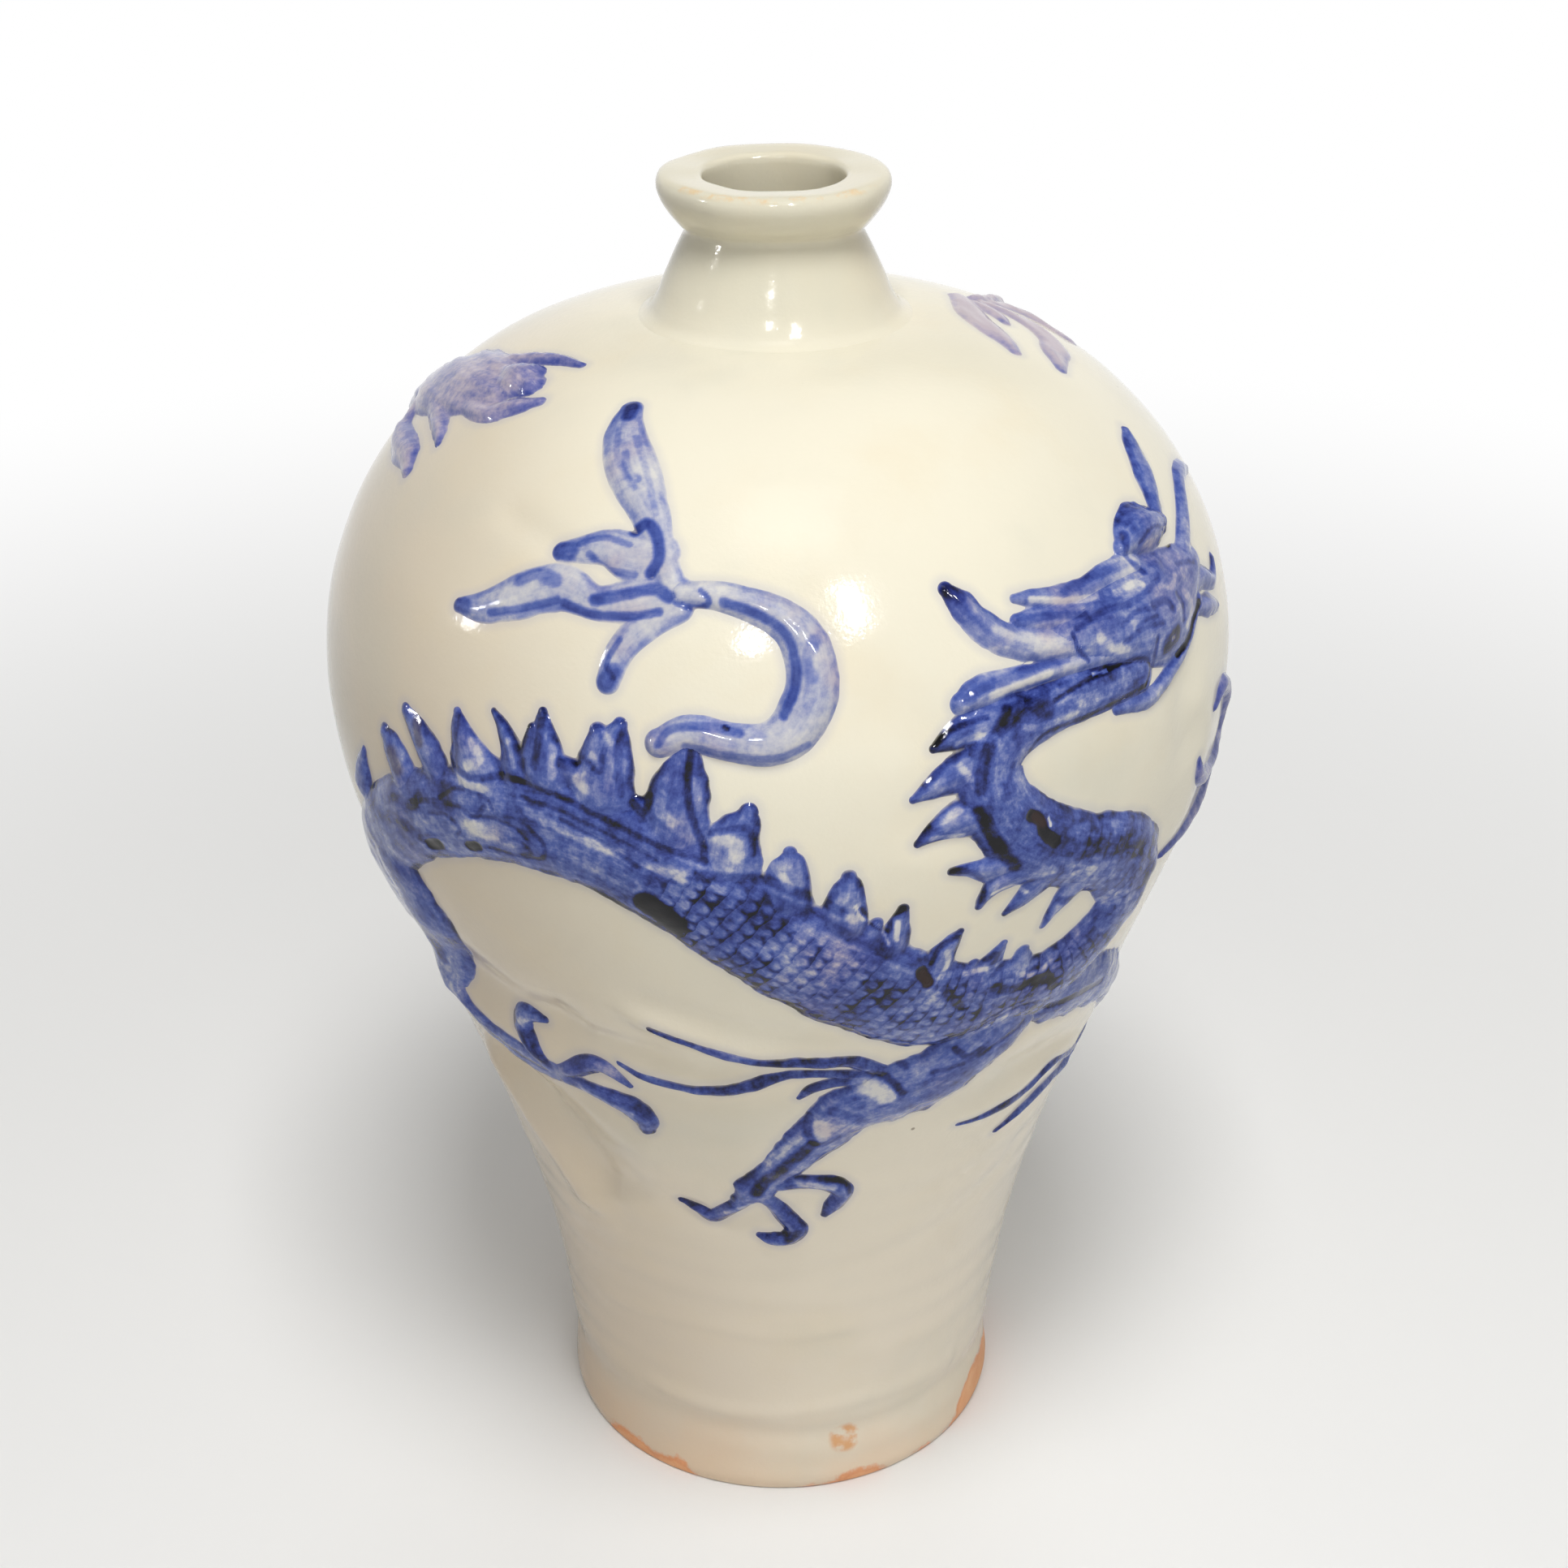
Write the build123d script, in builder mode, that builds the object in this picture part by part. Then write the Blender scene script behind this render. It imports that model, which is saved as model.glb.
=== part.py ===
from build123d import *
from math import cos, degrees, pi, radians, sin
import os

# Meiping vase in glazed stoneware, with two dragons in applied clay relief.
#
# The vessel is thrown in sections and luted together: a trimmed foot, a lower and an upper
# body, a neck and a thick mouth rim. The dragons are rolls and pinched strips of clay, pressed
# onto the finished wall. Sizes are in millimetres. The origin is the centre of the resting
# face, +Z is up and -Y is the front, where azimuth 0 is. Azimuth grows towards +X.

# Outline of the thrown wall, from the resting face up
foot_radius = 62.8
belly_radius = 116.4
neck_radius = 28.8
foot_height = 14
body_height = 325.4

# Turning points of the outline, as shares of the foot's or belly's radius and the body's height
waist_radius_share = 0.984
flank_radius_share = 0.651
hip_radius_share = 0.9304
flank_height_share = 0.298
hip_height_share = 0.5983
belly_height_share = 0.736

# Thickness of the wall, thinner as the pot was pulled up
foot_wall = 9.5
flank_wall = 7.5
hip_wall = 6.5
belly_wall = 6.5
shoulder_wall = 6

# Underside of the foot
resting_ring_width = 12
recess_depth = 3.5
recess_slope = 3

# Neck and mouth rim
neck_height = 20.2
throat_radius = 22.4
mouth_radius = 16.8
lip_radius = 28.4
lip_crown_radius = 26.8
lip_inner_radius = 17.8
lip_undercut = 11.6
lip_shoulder = 2.8
mouth_rounding = 1.4

# Relief: full width of each kind of roll or strip, and its rise above the wall
trunk_width = 27
trunk_rise = 3.8
neck_width = 20
neck_rise = 3.6
skull_width = 24
skull_rise = 4
brow_width = 14
brow_rise = 5
jaw_width = 10
jaw_rise = 2.6
horn_width = 7
horn_rise = 2
mane_width = 7
mane_rise = 2.2
spine_width = 9
spine_rise = 1.8
limb_width = 16
limb_rise = 3.2
claw_width = 6
claw_rise = 2.2
tail_width = 8
tail_rise = 2.6
plume_width = 12
plume_rise = 1.6
ribbon_width = 3.4
ribbon_rise = 1.3

# Sections of a clay roll and of a pinched strip, as shares of half the width and of the rise
roll_section_shares = ((1, -0.5), (0.76, 0.66), (0, 1), (-0.76, 0.66), (-1, -0.5))
strip_section_shares = ((1, -0.6), (0, 1), (-1, -0.6))

# Number of flats that the unseen inside is scraped in, and the backs of the relief
inside_flats = 36
backing_flats = 60

# How far up and down the outline its slope is taken at a place, as a share of its length
slope_reach_share = 0.02

# Places on the wall: azimuth in degrees, share of the way up the outline, share of the width.
# The front dragon faces right, with its hind quarters going round the left side.
front_trunk_shares = (
    (-80, 0.440, 0.35), (-76, 0.465, 0.62), (-70, 0.500, 0.8), (-62, 0.550, 0.9),
    (-52, 0.597, 0.85), (-41, 0.627, 0.83), (-30, 0.638, 0.88), (-20, 0.637, 0.97),
    (-10, 0.612, 1), (0, 0.572, 1.05), (10, 0.535, 1.12), (20, 0.503, 1.1), (30, 0.493, 1),
    (40, 0.490, 0.92),
)
front_spine_shares = (
    ((-50, 0.630, 1.9), (-52.5, 0.662, 0.5)),
    ((-43, 0.645, 1.4), (-48, 0.683, 0.3)),
    ((-36, 0.658, 1.5), (-39, 0.697, 0.2)),
    ((-26.5, 0.670, 1.3), (-27, 0.710, 0.2)),
    ((-19, 0.670, 1.6), (-18, 0.712, 0.3)),
    ((-11, 0.648, 1.7), (-10, 0.697, 0.4)),
    ((-4.5, 0.632, 1.3), (-3.2, 0.666, 0.4)),
    ((1, 0.610, 1.2), (1.5, 0.640, 0.4)),
    ((8, 0.588, 1.2), (8.3, 0.622, 0.4)),
    ((19.5, 0.534, 1.1), (21, 0.567, 0.3)),
    ((27, 0.520, 1.1), (28, 0.547, 0.3)),
)
front_neck_shares = (
    (36, 0.492, 1.2), (43, 0.505, 1.25), (48, 0.530, 1.25), (49, 0.560, 1.2), (45, 0.585, 1.1),
    (39, 0.600, 1), (33, 0.615, 1), (28, 0.635, 0.95), (25, 0.660, 0.85), (25, 0.685, 0.78),
    (29, 0.700, 0.68), (35, 0.706, 0.6), (42, 0.706, 0.55), (48, 0.704, 0.45),
)
front_nape_spine_shares = (
    ((26, 0.703, 1.1), (18, 0.697, 0.2)),
    ((24, 0.681, 1.1), (15.5, 0.667, 0.2)),
    ((25, 0.651, 1), (16, 0.638, 0.2)),
    ((29, 0.619, 1), (20, 0.616, 0.2)),
    ((34, 0.596, 1.1), (28, 0.575, 0.2)),
)
front_skull_shares = (
    (37, 0.743, 0.5), (43, 0.742, 0.8), (49, 0.738, 1.05), (55, 0.735, 1.15), (60, 0.738, 0.9),
    (64, 0.742, 0.6), (67, 0.743, 0.35),
)
front_brow_shares = (
    (51.5, 0.778, 0.35), (54, 0.782, 0.75), (57, 0.783, 0.95), (60, 0.781, 0.8),
    (63, 0.778, 0.4),
)
front_jaw_shares = (
    (43, 0.688, 0.4), (49, 0.685, 0.6), (55, 0.695, 0.6), (60, 0.708, 0.5), (65, 0.722, 0.3),
)
front_horn_shares = (
    ((62.5, 0.778, 0.6), (65.5, 0.795, 0.9), (68.5, 0.812, 1.1), (71.5, 0.825, 1),
     (73.5, 0.833, 0.4)),
    ((65, 0.752, 0.9), (69, 0.762, 0.9), (73, 0.773, 0.85), (78, 0.782, 0.8), (83, 0.780, 0.7),
     (87, 0.772, 0.4)),
    ((64, 0.733, 0.9), (68, 0.730, 0.9), (72, 0.720, 0.7), (75, 0.728, 0.4)),
    ((64, 0.717, 0.6), (68, 0.711, 0.8), (71.5, 0.703, 0.4)),
)
front_mane_shares = (
    ((50, 0.766, 1), (46, 0.767, 1), (42, 0.765, 0.8), (37, 0.767, 0.75), (33, 0.771, 0.5),
     (31, 0.773, 0.3)),
    ((46, 0.750, 1), (40, 0.753, 1), (34, 0.757, 0.9), (30.5, 0.760, 0.5)),
    ((42, 0.737, 1.2), (35, 0.741, 1.2), (29, 0.750, 1.1), (25.5, 0.763, 1), (23.5, 0.777, 0.9),
     (22, 0.786, 0.5)),
    ((44, 0.723, 0.6), (36, 0.727, 0.7), (29, 0.727, 0.8), (24, 0.724, 1.1), (21.5, 0.720, 0.7)),
)
front_near_foreleg_shares = (
    (32, 0.455, 1.5), (25, 0.430, 1.55), (18, 0.418, 1.45), (11, 0.405, 1.2), (6, 0.380, 0.95),
    (2, 0.355, 0.75), (-2, 0.332, 0.62), (-5, 0.315, 0.7), (-7, 0.308, 0.35),
)
front_near_claw_shares = (
    ((-6, 0.308, 0.95), (-9.5, 0.293, 0.85), (-13, 0.282, 0.75), (-16, 0.288, 0.6),
     (-19, 0.295, 0.3)),
    ((-2.5, 0.308, 0.9), (0.5, 0.292, 0.95), (3, 0.277, 1), (1.5, 0.266, 1), (-1.5, 0.265, 0.9),
     (-4, 0.268, 0.3)),
    ((0, 0.326, 0.9), (4, 0.329, 0.95), (8.5, 0.326, 1), (11.3, 0.316, 1), (10, 0.302, 0.9),
     (8.5, 0.291, 0.35)),
)
front_far_foreleg_shares = (
    (44, 0.470, 1.3), (51, 0.460, 1.15), (58, 0.443, 1), (64, 0.425, 0.85), (70, 0.400, 0.75),
    (76, 0.372, 0.7), (80, 0.352, 0.6),
)
front_far_claw_shares = (
    ((80, 0.352, 0.9), (85, 0.352, 0.9), (90, 0.345, 0.8), (93, 0.333, 0.35)),
    ((79, 0.350, 0.9), (83, 0.335, 0.9), (86, 0.322, 0.8), (84, 0.310, 0.35)),
    ((78, 0.352, 0.9), (76, 0.335, 0.9), (73, 0.322, 0.7), (70, 0.326, 0.35)),
)
front_hind_leg_shares = (
    (-57, 0.550, 1.5), (-55, 0.515, 1.6), (-55, 0.480, 1.3), (-57, 0.452, 1), (-54, 0.430, 0.85),
    (-48, 0.418, 0.8), (-41, 0.411, 0.75), (-35, 0.410, 0.6),
)
front_hind_claw_shares = (
    ((-37, 0.412, 0.8), (-38.8, 0.430, 0.9), (-40.5, 0.445, 1), (-39.5, 0.456, 1),
     (-36, 0.456, 0.35)),
    ((-35, 0.414, 0.8), (-31, 0.427, 0.9), (-27.5, 0.434, 0.9), (-25, 0.428, 0.6),
     (-22.8, 0.418, 0.25)),
    ((-34, 0.408, 1.2), (-29, 0.406, 1.4), (-24.5, 0.398, 1.5), (-22, 0.387, 1.3),
     (-21.8, 0.374, 0.7)),
)
front_tail_shares = (
    (-13, 0.704, 0.8), (-9.5, 0.711, 1), (-5, 0.707, 1.05), (-1, 0.706, 1.2), (2.2, 0.716, 1.4),
    (4, 0.735, 1.45), (4, 0.755, 1.35), (2, 0.773, 1.15), (-2, 0.784, 0.95), (-7, 0.790, 0.8),
    (-12, 0.790, 0.7),
)
front_plume_shares = (
    ((-13.5, 0.795, 0.5), (-16, 0.815, 0.55), (-18.5, 0.838, 0.85), (-23, 0.860, 1.1),
     (-27.5, 0.880, 1.1), (-30.5, 0.898, 0.85), (-31.5, 0.909, 0.6)),
    ((-16, 0.812, 0.8), (-19, 0.809, 0.9), (-23, 0.812, 0.7), (-27, 0.808, 0.5),
     (-30, 0.805, 0.35)),
    ((-13, 0.788, 0.8), (-18, 0.783, 0.75), (-23, 0.779, 0.6), (-28, 0.784, 0.85),
     (-33, 0.775, 0.85), (-38, 0.762, 0.6), (-42.5, 0.757, 0.25)),
    ((-12, 0.782, 0.5), (-15.5, 0.772, 0.55), (-18.5, 0.755, 0.5), (-19.7, 0.735, 0.4)),
)
front_ribbon_shares = (
    ((15, 0.442, 1.2), (9, 0.459, 1.3), (3, 0.464, 1.3), (-3, 0.464, 1.2), (-8, 0.472, 1),
     (-13, 0.483, 0.7), (-16.8, 0.492, 0.35)),
    ((13, 0.440, 1), (7, 0.446, 0.9), (1, 0.447, 1), (-3.5, 0.440, 1.4), (-8, 0.431, 1.7),
     (-13, 0.431, 1), (-18, 0.434, 1.1), (-23.5, 0.441, 0.4)),
    ((12, 0.437, 1.2), (8, 0.436, 1.1), (5, 0.431, 1), (3, 0.421, 0.4)),
    ((76, 0.362, 1), (70, 0.363, 0.9), (64, 0.362, 1), (58, 0.367, 1), (51.5, 0.375, 1),
     (46, 0.364, 1.2), (40, 0.363, 1.3), (31, 0.363, 0.4)),
    ((75, 0.352, 0.9), (68, 0.345, 1), (62, 0.342, 1.1), (55, 0.345, 1.2), (49, 0.340, 1),
     (42, 0.331, 0.4)),
)

# The back dragon follows it round: its head rises on the left shoulder, at azimuth 280.
back_trunk_shares = (
    (110, 0.500, 0.5), (118, 0.530, 0.8), (127, 0.572, 0.9), (137, 0.605, 0.88),
    (148, 0.623, 0.9), (159, 0.628, 0.95), (170, 0.617, 1), (180, 0.590, 1.02),
    (190, 0.557, 1.05), (200, 0.525, 1.08), (210, 0.505, 1.05), (220, 0.497, 0.95),
)
back_neck_shares = (
    (217, 0.498, 1.2), (224, 0.508, 1.22), (229, 0.530, 1.2), (230, 0.557, 1.15),
    (226, 0.580, 1.1), (220, 0.598, 1), (215, 0.620, 0.95), (213, 0.645, 0.9),
    (215, 0.670, 0.85), (220, 0.690, 0.8), (227, 0.710, 0.75), (234, 0.735, 0.75),
    (241, 0.760, 0.75), (248, 0.785, 0.75), (255, 0.810, 0.7), (262, 0.832, 0.6),
)
back_skull_shares = (
    (261, 0.835, 0.6), (267, 0.844, 0.85), (273, 0.857, 1), (280, 0.870, 1), (287, 0.880, 0.9),
    (293, 0.887, 0.6),
)
back_brow_shares = (
    (290, 0.895, 0.5), (293.5, 0.897, 0.85), (297, 0.898, 0.9), (300, 0.899, 0.55),
)
back_jaw_shares = (
    (268, 0.826, 0.5), (275, 0.812, 0.8), (281, 0.812, 0.9), (287, 0.814, 0.8),
    (290.5, 0.808, 0.4),
)
back_horn_shares = (
    ((283, 0.903, 0.8), (289, 0.916, 0.8), (296, 0.926, 0.6), (304, 0.931, 0.3)),
    ((291, 0.866, 0.9), (298, 0.869, 0.9), (303, 0.882, 0.9), (307, 0.893, 0.45)),
    ((276, 0.845, 0.9), (284, 0.844, 0.9), (290, 0.840, 0.7), (293, 0.834, 0.3)),
)
back_near_foreleg_shares = (
    (206, 0.480, 1.4), (200, 0.452, 1.45), (193, 0.430, 1.3), (187, 0.405, 1.1),
    (182, 0.378, 0.9), (178, 0.352, 0.75), (175, 0.330, 0.65), (173, 0.318, 0.6),
)
back_near_claw_shares = (
    ((173, 0.316, 0.95), (169, 0.303, 0.85), (165, 0.294, 0.75), (161, 0.300, 0.35)),
    ((176, 0.310, 0.9), (178, 0.295, 1), (177, 0.282, 0.9), (174, 0.275, 0.4)),
    ((177, 0.328, 0.9), (182, 0.330, 0.95), (186, 0.322, 1), (185, 0.308, 0.4)),
)
back_far_foreleg_shares = (
    (222, 0.475, 1.3), (229, 0.455, 1.15), (236, 0.435, 1), (243, 0.412, 0.85),
    (249, 0.388, 0.75), (253, 0.368, 0.6),
)
back_far_claw_shares = (
    ((253, 0.366, 0.9), (258, 0.362, 0.9), (262, 0.350, 0.4)),
    ((252, 0.362, 0.9), (254, 0.346, 0.9), (252, 0.332, 0.4)),
    ((251, 0.366, 0.9), (246, 0.352, 0.8), (243, 0.340, 0.4)),
)
back_hind_leg_shares = (
    (114, 0.520, 1.4), (106, 0.530, 1.3), (98, 0.545, 1.1), (91, 0.565, 0.9), (84, 0.583, 0.8),
    (79, 0.592, 0.6),
)
back_hind_claw_shares = (
    ((79, 0.585, 0.9), (74, 0.570, 0.9), (66, 0.558, 0.95), (57, 0.555, 0.35)),
    ((78, 0.593, 0.9), (72, 0.588, 0.9), (66, 0.594, 0.9), (63, 0.605, 0.8), (62, 0.616, 0.35)),
    ((79, 0.598, 0.9), (78, 0.618, 0.9), (75.5, 0.636, 0.9), (71, 0.648, 0.9),
     (66.5, 0.643, 0.35)),
)
back_tail_shares = (
    (150, 0.662, 0.8), (154, 0.672, 1), (159, 0.672, 1.05), (164, 0.680, 1.2), (167, 0.700, 1.4),
    (166, 0.722, 1.45), (161, 0.742, 1.3), (154, 0.757, 1.15), (146, 0.775, 0.95),
    (140, 0.800, 0.85), (136, 0.830, 0.75), (131, 0.860, 0.7), (124, 0.890, 0.65),
    (116, 0.915, 0.6), (110, 0.935, 0.55),
)
back_plume_shares = (
    ((112, 0.945, 0.4), (105, 0.947, 0.55), (97, 0.948, 0.65), (90, 0.945, 0.65),
     (83, 0.935, 0.6), (78, 0.925, 0.45), (74, 0.917, 0.25)),
    ((108, 0.932, 0.4), (104, 0.915, 0.55), (97, 0.900, 0.65), (90, 0.892, 0.7),
     (84, 0.892, 0.6), (77.5, 0.886, 0.25)),
    ((106, 0.938, 0.4), (100, 0.930, 0.45), (93, 0.925, 0.2)),
    ((112, 0.925, 0.4), (113, 0.905, 0.6), (110, 0.885, 0.65), (104, 0.868, 0.4)),
)

# The outline's turning points, and the heights of the neck and mouth
waist_radius = foot_radius * waist_radius_share
flank_radius = belly_radius * flank_radius_share
hip_radius = belly_radius * hip_radius_share
flank_height = body_height * flank_height_share
hip_height = body_height * hip_height_share
belly_height = body_height * belly_height_share
throat_height = body_height + neck_height
lip_height = throat_height + lip_undercut
total_height = lip_height + lip_shoulder
mouth_height = total_height - mouth_rounding


def bands(arc, count, down=False):
    """Ends of the straight bands that an arc is turned in, always listed from the bottom up"""
    steps = [step / count for step in range(count + 1)]
    return [arc @ (1 - step if down else step) for step in steps]


def body_line(waist, flank, hip, belly, neck, counts):
    """Lower and upper half of a body's outline: arcs that flow out of its upright belly"""
    with BuildLine():
        hip_arc = TangentArc(belly, hip, tangent=(0, -1))
        flank_arc = TangentArc(hip, flank, tangent=hip_arc % 1)
        waist_arc = TangentArc(flank, waist, tangent=flank_arc % 1)
        shoulder_arc = TangentArc(belly, neck, tangent=(0, 1))
    waist_count, flank_count, hip_count, shoulder_count = counts
    lower = bands(waist_arc, waist_count, down=True) + bands(flank_arc, flank_count, down=True)[1:]
    upper = bands(hip_arc, hip_count, down=True) + bands(shoulder_arc, shoulder_count)[1:]
    return lower, upper


lower_outside, upper_outside = body_line(
    waist=(waist_radius, foot_height),
    flank=(flank_radius, flank_height),
    hip=(hip_radius, hip_height),
    belly=(belly_radius, belly_height),
    neck=(neck_radius, body_height),
    counts=(1, 2, 2, 4),
)
lower_inside, upper_inside = body_line(
    waist=(waist_radius - foot_wall, foot_height),
    flank=(flank_radius - flank_wall, flank_height),
    hip=(hip_radius - hip_wall, hip_height),
    belly=(belly_radius - belly_wall, belly_height),
    neck=(mouth_radius, body_height - shoulder_wall),
    counts=(1, 1, 1, 4),
)


def turned(*points):
    """Solid turned about the vessel's axis from points of radius and height"""
    with BuildSketch(Plane.XZ) as profile:
        with BuildLine():
            Polyline(*points, close=True)
        make_face()
    revolve(profile.sketch, axis=Axis.Z)


def faceted(rings):
    """Solid with flat facets through rings of as many corners each"""
    skin = [Face(Wire.make_polygon(ring)) for ring in (rings[0], rings[-1])]
    for near, far in zip(rings, rings[1:]):
        sides = zip(near, near[1:] + near[:1], far[1:] + far[:1], far)
        for near_start, near_end, far_end, far_start in sides:
            skin.append(Face(Wire.make_polygon([near_start, near_end, far_end])))
            skin.append(Face(Wire.make_polygon([near_start, far_end, far_start])))
    return Solid(Shell(skin))


def flat_sided(points, flats):
    """Solid with flat sides through points of radius and height"""
    turns = [2 * pi * flat / flats for flat in range(flats)]
    return faceted([
        [Vector(point.X * cos(turn), point.X * sin(turn), point.Y) for turn in turns]
        for point in points
    ])


# The vessel, from the foot up
with BuildPart() as lower_body:
    ring_radius = foot_radius - resting_ring_width
    turned(
        (0, recess_depth),
        (ring_radius - recess_slope, recess_depth),
        (ring_radius, 0),
        (foot_radius, 0),
        *lower_outside,
        (0, hip_height),
    )
    add(flat_sided(lower_inside, inside_flats), mode=Mode.SUBTRACT)

with BuildPart() as upper_body:
    turned((0, hip_height), *upper_outside, (0, body_height))
    add(flat_sided(upper_inside, inside_flats), mode=Mode.SUBTRACT)
    Hole(radius=mouth_radius)

with BuildPart() as neck:
    lip_widest = (lip_radius, lip_height)
    with BuildLine():
        undercut = TangentArc(lip_widest, (throat_radius, throat_height), tangent=(0, -1))
        crown = TangentArc(lip_widest, (lip_crown_radius, total_height), tangent=(0, 1))
        rounding = TangentArc(
            (mouth_radius, mouth_height), (lip_inner_radius, total_height), tangent=(0, 1)
        )
    turned(
        (mouth_radius, body_height),
        (neck_radius, body_height),
        *bands(undercut, 2, down=True),
        *bands(crown, 1)[1:],
        *reversed(bands(rounding, 1)),
    )

# The wall's outline from foot to neck, and the wall in flats that the relief's backs fit
outline = [Vector(foot_radius, 0), *lower_outside, *upper_outside[1:]]
around = 1 / cos(pi / backing_flats)
backing = flat_sided([Vector(point.X * around, point.Y) for point in outline], backing_flats)

outline_reach = [0]
for below, above in zip(outline, outline[1:]):
    outline_reach.append(outline_reach[-1] + (above - below).length)
outline_length = outline_reach[-1]


def outline_point(share):
    """Radius and height at a share of the way up the outline"""
    reach = share * outline_length
    band = sum(1 for start in outline_reach[1:-1] if start <= reach)
    low, high = outline[band], outline[band + 1]
    return low + (high - low) * ((reach - outline_reach[band]) / (high - low).length)


def on_wall(azimuth, share):
    """Point on the wall, and the direction straight out of the wall there"""
    spot = outline_point(share)
    above = outline_point(share + slope_reach_share)
    rise = (above - outline_point(share - slope_reach_share)).normalized()
    outward = Vector(sin(radians(azimuth)), -cos(radians(azimuth)), 0)
    upward = Vector(0, 0, 1)
    return outward * spot.X + upward * spot.Y, outward * rise.Y - upward * rise.X


def clay_roll(route_shares, width, rise, stops, section_shares=roll_section_shares):
    """Roll or strip of clay along a route on the wall, narrowed by the route's last figure"""
    with BuildLine() as course:
        Spline(*[
            (radians(azimuth) * belly_radius, share * outline_length, width * width_share)
            for azimuth, share, width_share in route_shares
        ])
    edge = course.edge()
    places = [edge @ (stop / (stops - 1)) for stop in range(stops)]
    seats = [on_wall(degrees(place.X / belly_radius), place.Y / outline_length) for place in places]
    rings = []
    for stop, (seat, out) in enumerate(seats):
        ahead = seats[min(stop + 1, stops - 1)][0] - seats[max(stop - 1, 0)][0]
        across = out.cross(ahead).normalized() * (places[stop].Z / 2)
        upward = out * (rise * places[stop].Z / width)
        rings.append([seat + across * side + upward * up for side, up in section_shares])
    add(faceted(rings))


def press_onto_wall(*neighbours):
    """Cuts away what lies behind the wall's surface or inside pieces that are already there"""
    add(backing, mode=Mode.SUBTRACT)
    for neighbour in neighbours:
        add(neighbour.part, mode=Mode.SUBTRACT)


def strips(routes, width, rise, stops):
    """Pinched strips of clay, each along its own route"""
    for route_shares in routes:
        clay_roll(route_shares, width, rise, stops, strip_section_shares)


# The front dragon
with BuildPart() as front_trunk:
    clay_roll(front_trunk_shares, trunk_width, trunk_rise, stops=16)
    strips(front_spine_shares, spine_width, spine_rise, stops=2)
    press_onto_wall()

with BuildPart() as front_neck:
    clay_roll(front_neck_shares, neck_width, neck_rise, stops=16)
    strips(front_nape_spine_shares, spine_width, spine_rise, stops=2)
    press_onto_wall(front_trunk)

with BuildPart() as front_head:
    clay_roll(front_skull_shares, skull_width, skull_rise, stops=5)
    clay_roll(front_brow_shares, brow_width, brow_rise, stops=4)
    clay_roll(front_jaw_shares, jaw_width, jaw_rise, stops=4)
    strips(front_horn_shares, horn_width, horn_rise, stops=4)
    press_onto_wall(front_neck)

with BuildPart() as front_mane:
    strips(front_mane_shares, mane_width, mane_rise, stops=5)
    press_onto_wall(front_neck, front_head)

with BuildPart() as front_near_foreleg:
    clay_roll(front_near_foreleg_shares, limb_width, limb_rise, stops=8)
    strips(front_near_claw_shares, claw_width, claw_rise, stops=5)
    press_onto_wall(front_trunk, front_neck)

with BuildPart() as front_far_foreleg:
    clay_roll(front_far_foreleg_shares, limb_width, limb_rise, stops=6)
    strips(front_far_claw_shares, claw_width, claw_rise, stops=4)
    press_onto_wall(front_trunk, front_neck, front_near_foreleg)

with BuildPart() as front_hind_leg:
    clay_roll(front_hind_leg_shares, limb_width, limb_rise, stops=8)
    strips(front_hind_claw_shares, claw_width, claw_rise, stops=5)
    press_onto_wall(front_trunk)

with BuildPart() as front_tail:
    clay_roll(front_tail_shares, tail_width, tail_rise, stops=10)
    strips(front_plume_shares, plume_width, plume_rise, stops=6)
    press_onto_wall(front_trunk)

with BuildPart() as front_ribbons:
    strips(front_ribbon_shares, ribbon_width, ribbon_rise, stops=6)
    press_onto_wall(front_trunk, front_near_foreleg, front_far_foreleg)

# The back dragon
with BuildPart() as back_trunk:
    clay_roll(back_trunk_shares, trunk_width, trunk_rise, stops=14)
    press_onto_wall()

with BuildPart() as back_neck:
    clay_roll(back_neck_shares, neck_width, neck_rise, stops=18)
    press_onto_wall(back_trunk)

with BuildPart() as back_head:
    clay_roll(back_skull_shares, skull_width, skull_rise, stops=5)
    clay_roll(back_brow_shares, brow_width, brow_rise, stops=4)
    clay_roll(back_jaw_shares, jaw_width, jaw_rise, stops=4)
    strips(back_horn_shares, horn_width, horn_rise, stops=4)
    press_onto_wall(back_neck)

with BuildPart() as back_near_foreleg:
    clay_roll(back_near_foreleg_shares, limb_width, limb_rise, stops=7)
    strips(back_near_claw_shares, claw_width, claw_rise, stops=4)
    press_onto_wall(back_trunk, back_neck)

with BuildPart() as back_far_foreleg:
    clay_roll(back_far_foreleg_shares, limb_width, limb_rise, stops=6)
    strips(back_far_claw_shares, claw_width, claw_rise, stops=4)
    press_onto_wall(back_trunk, back_neck, back_near_foreleg)

with BuildPart() as back_hind_leg:
    clay_roll(back_hind_leg_shares, limb_width, limb_rise, stops=7)
    strips(back_hind_claw_shares, claw_width, claw_rise, stops=5)
    press_onto_wall(back_trunk)

with BuildPart() as back_tail:
    clay_roll(back_tail_shares, tail_width, tail_rise, stops=12)
    strips(back_plume_shares, plume_width, plume_rise, stops=5)
    press_onto_wall(back_trunk)

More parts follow.
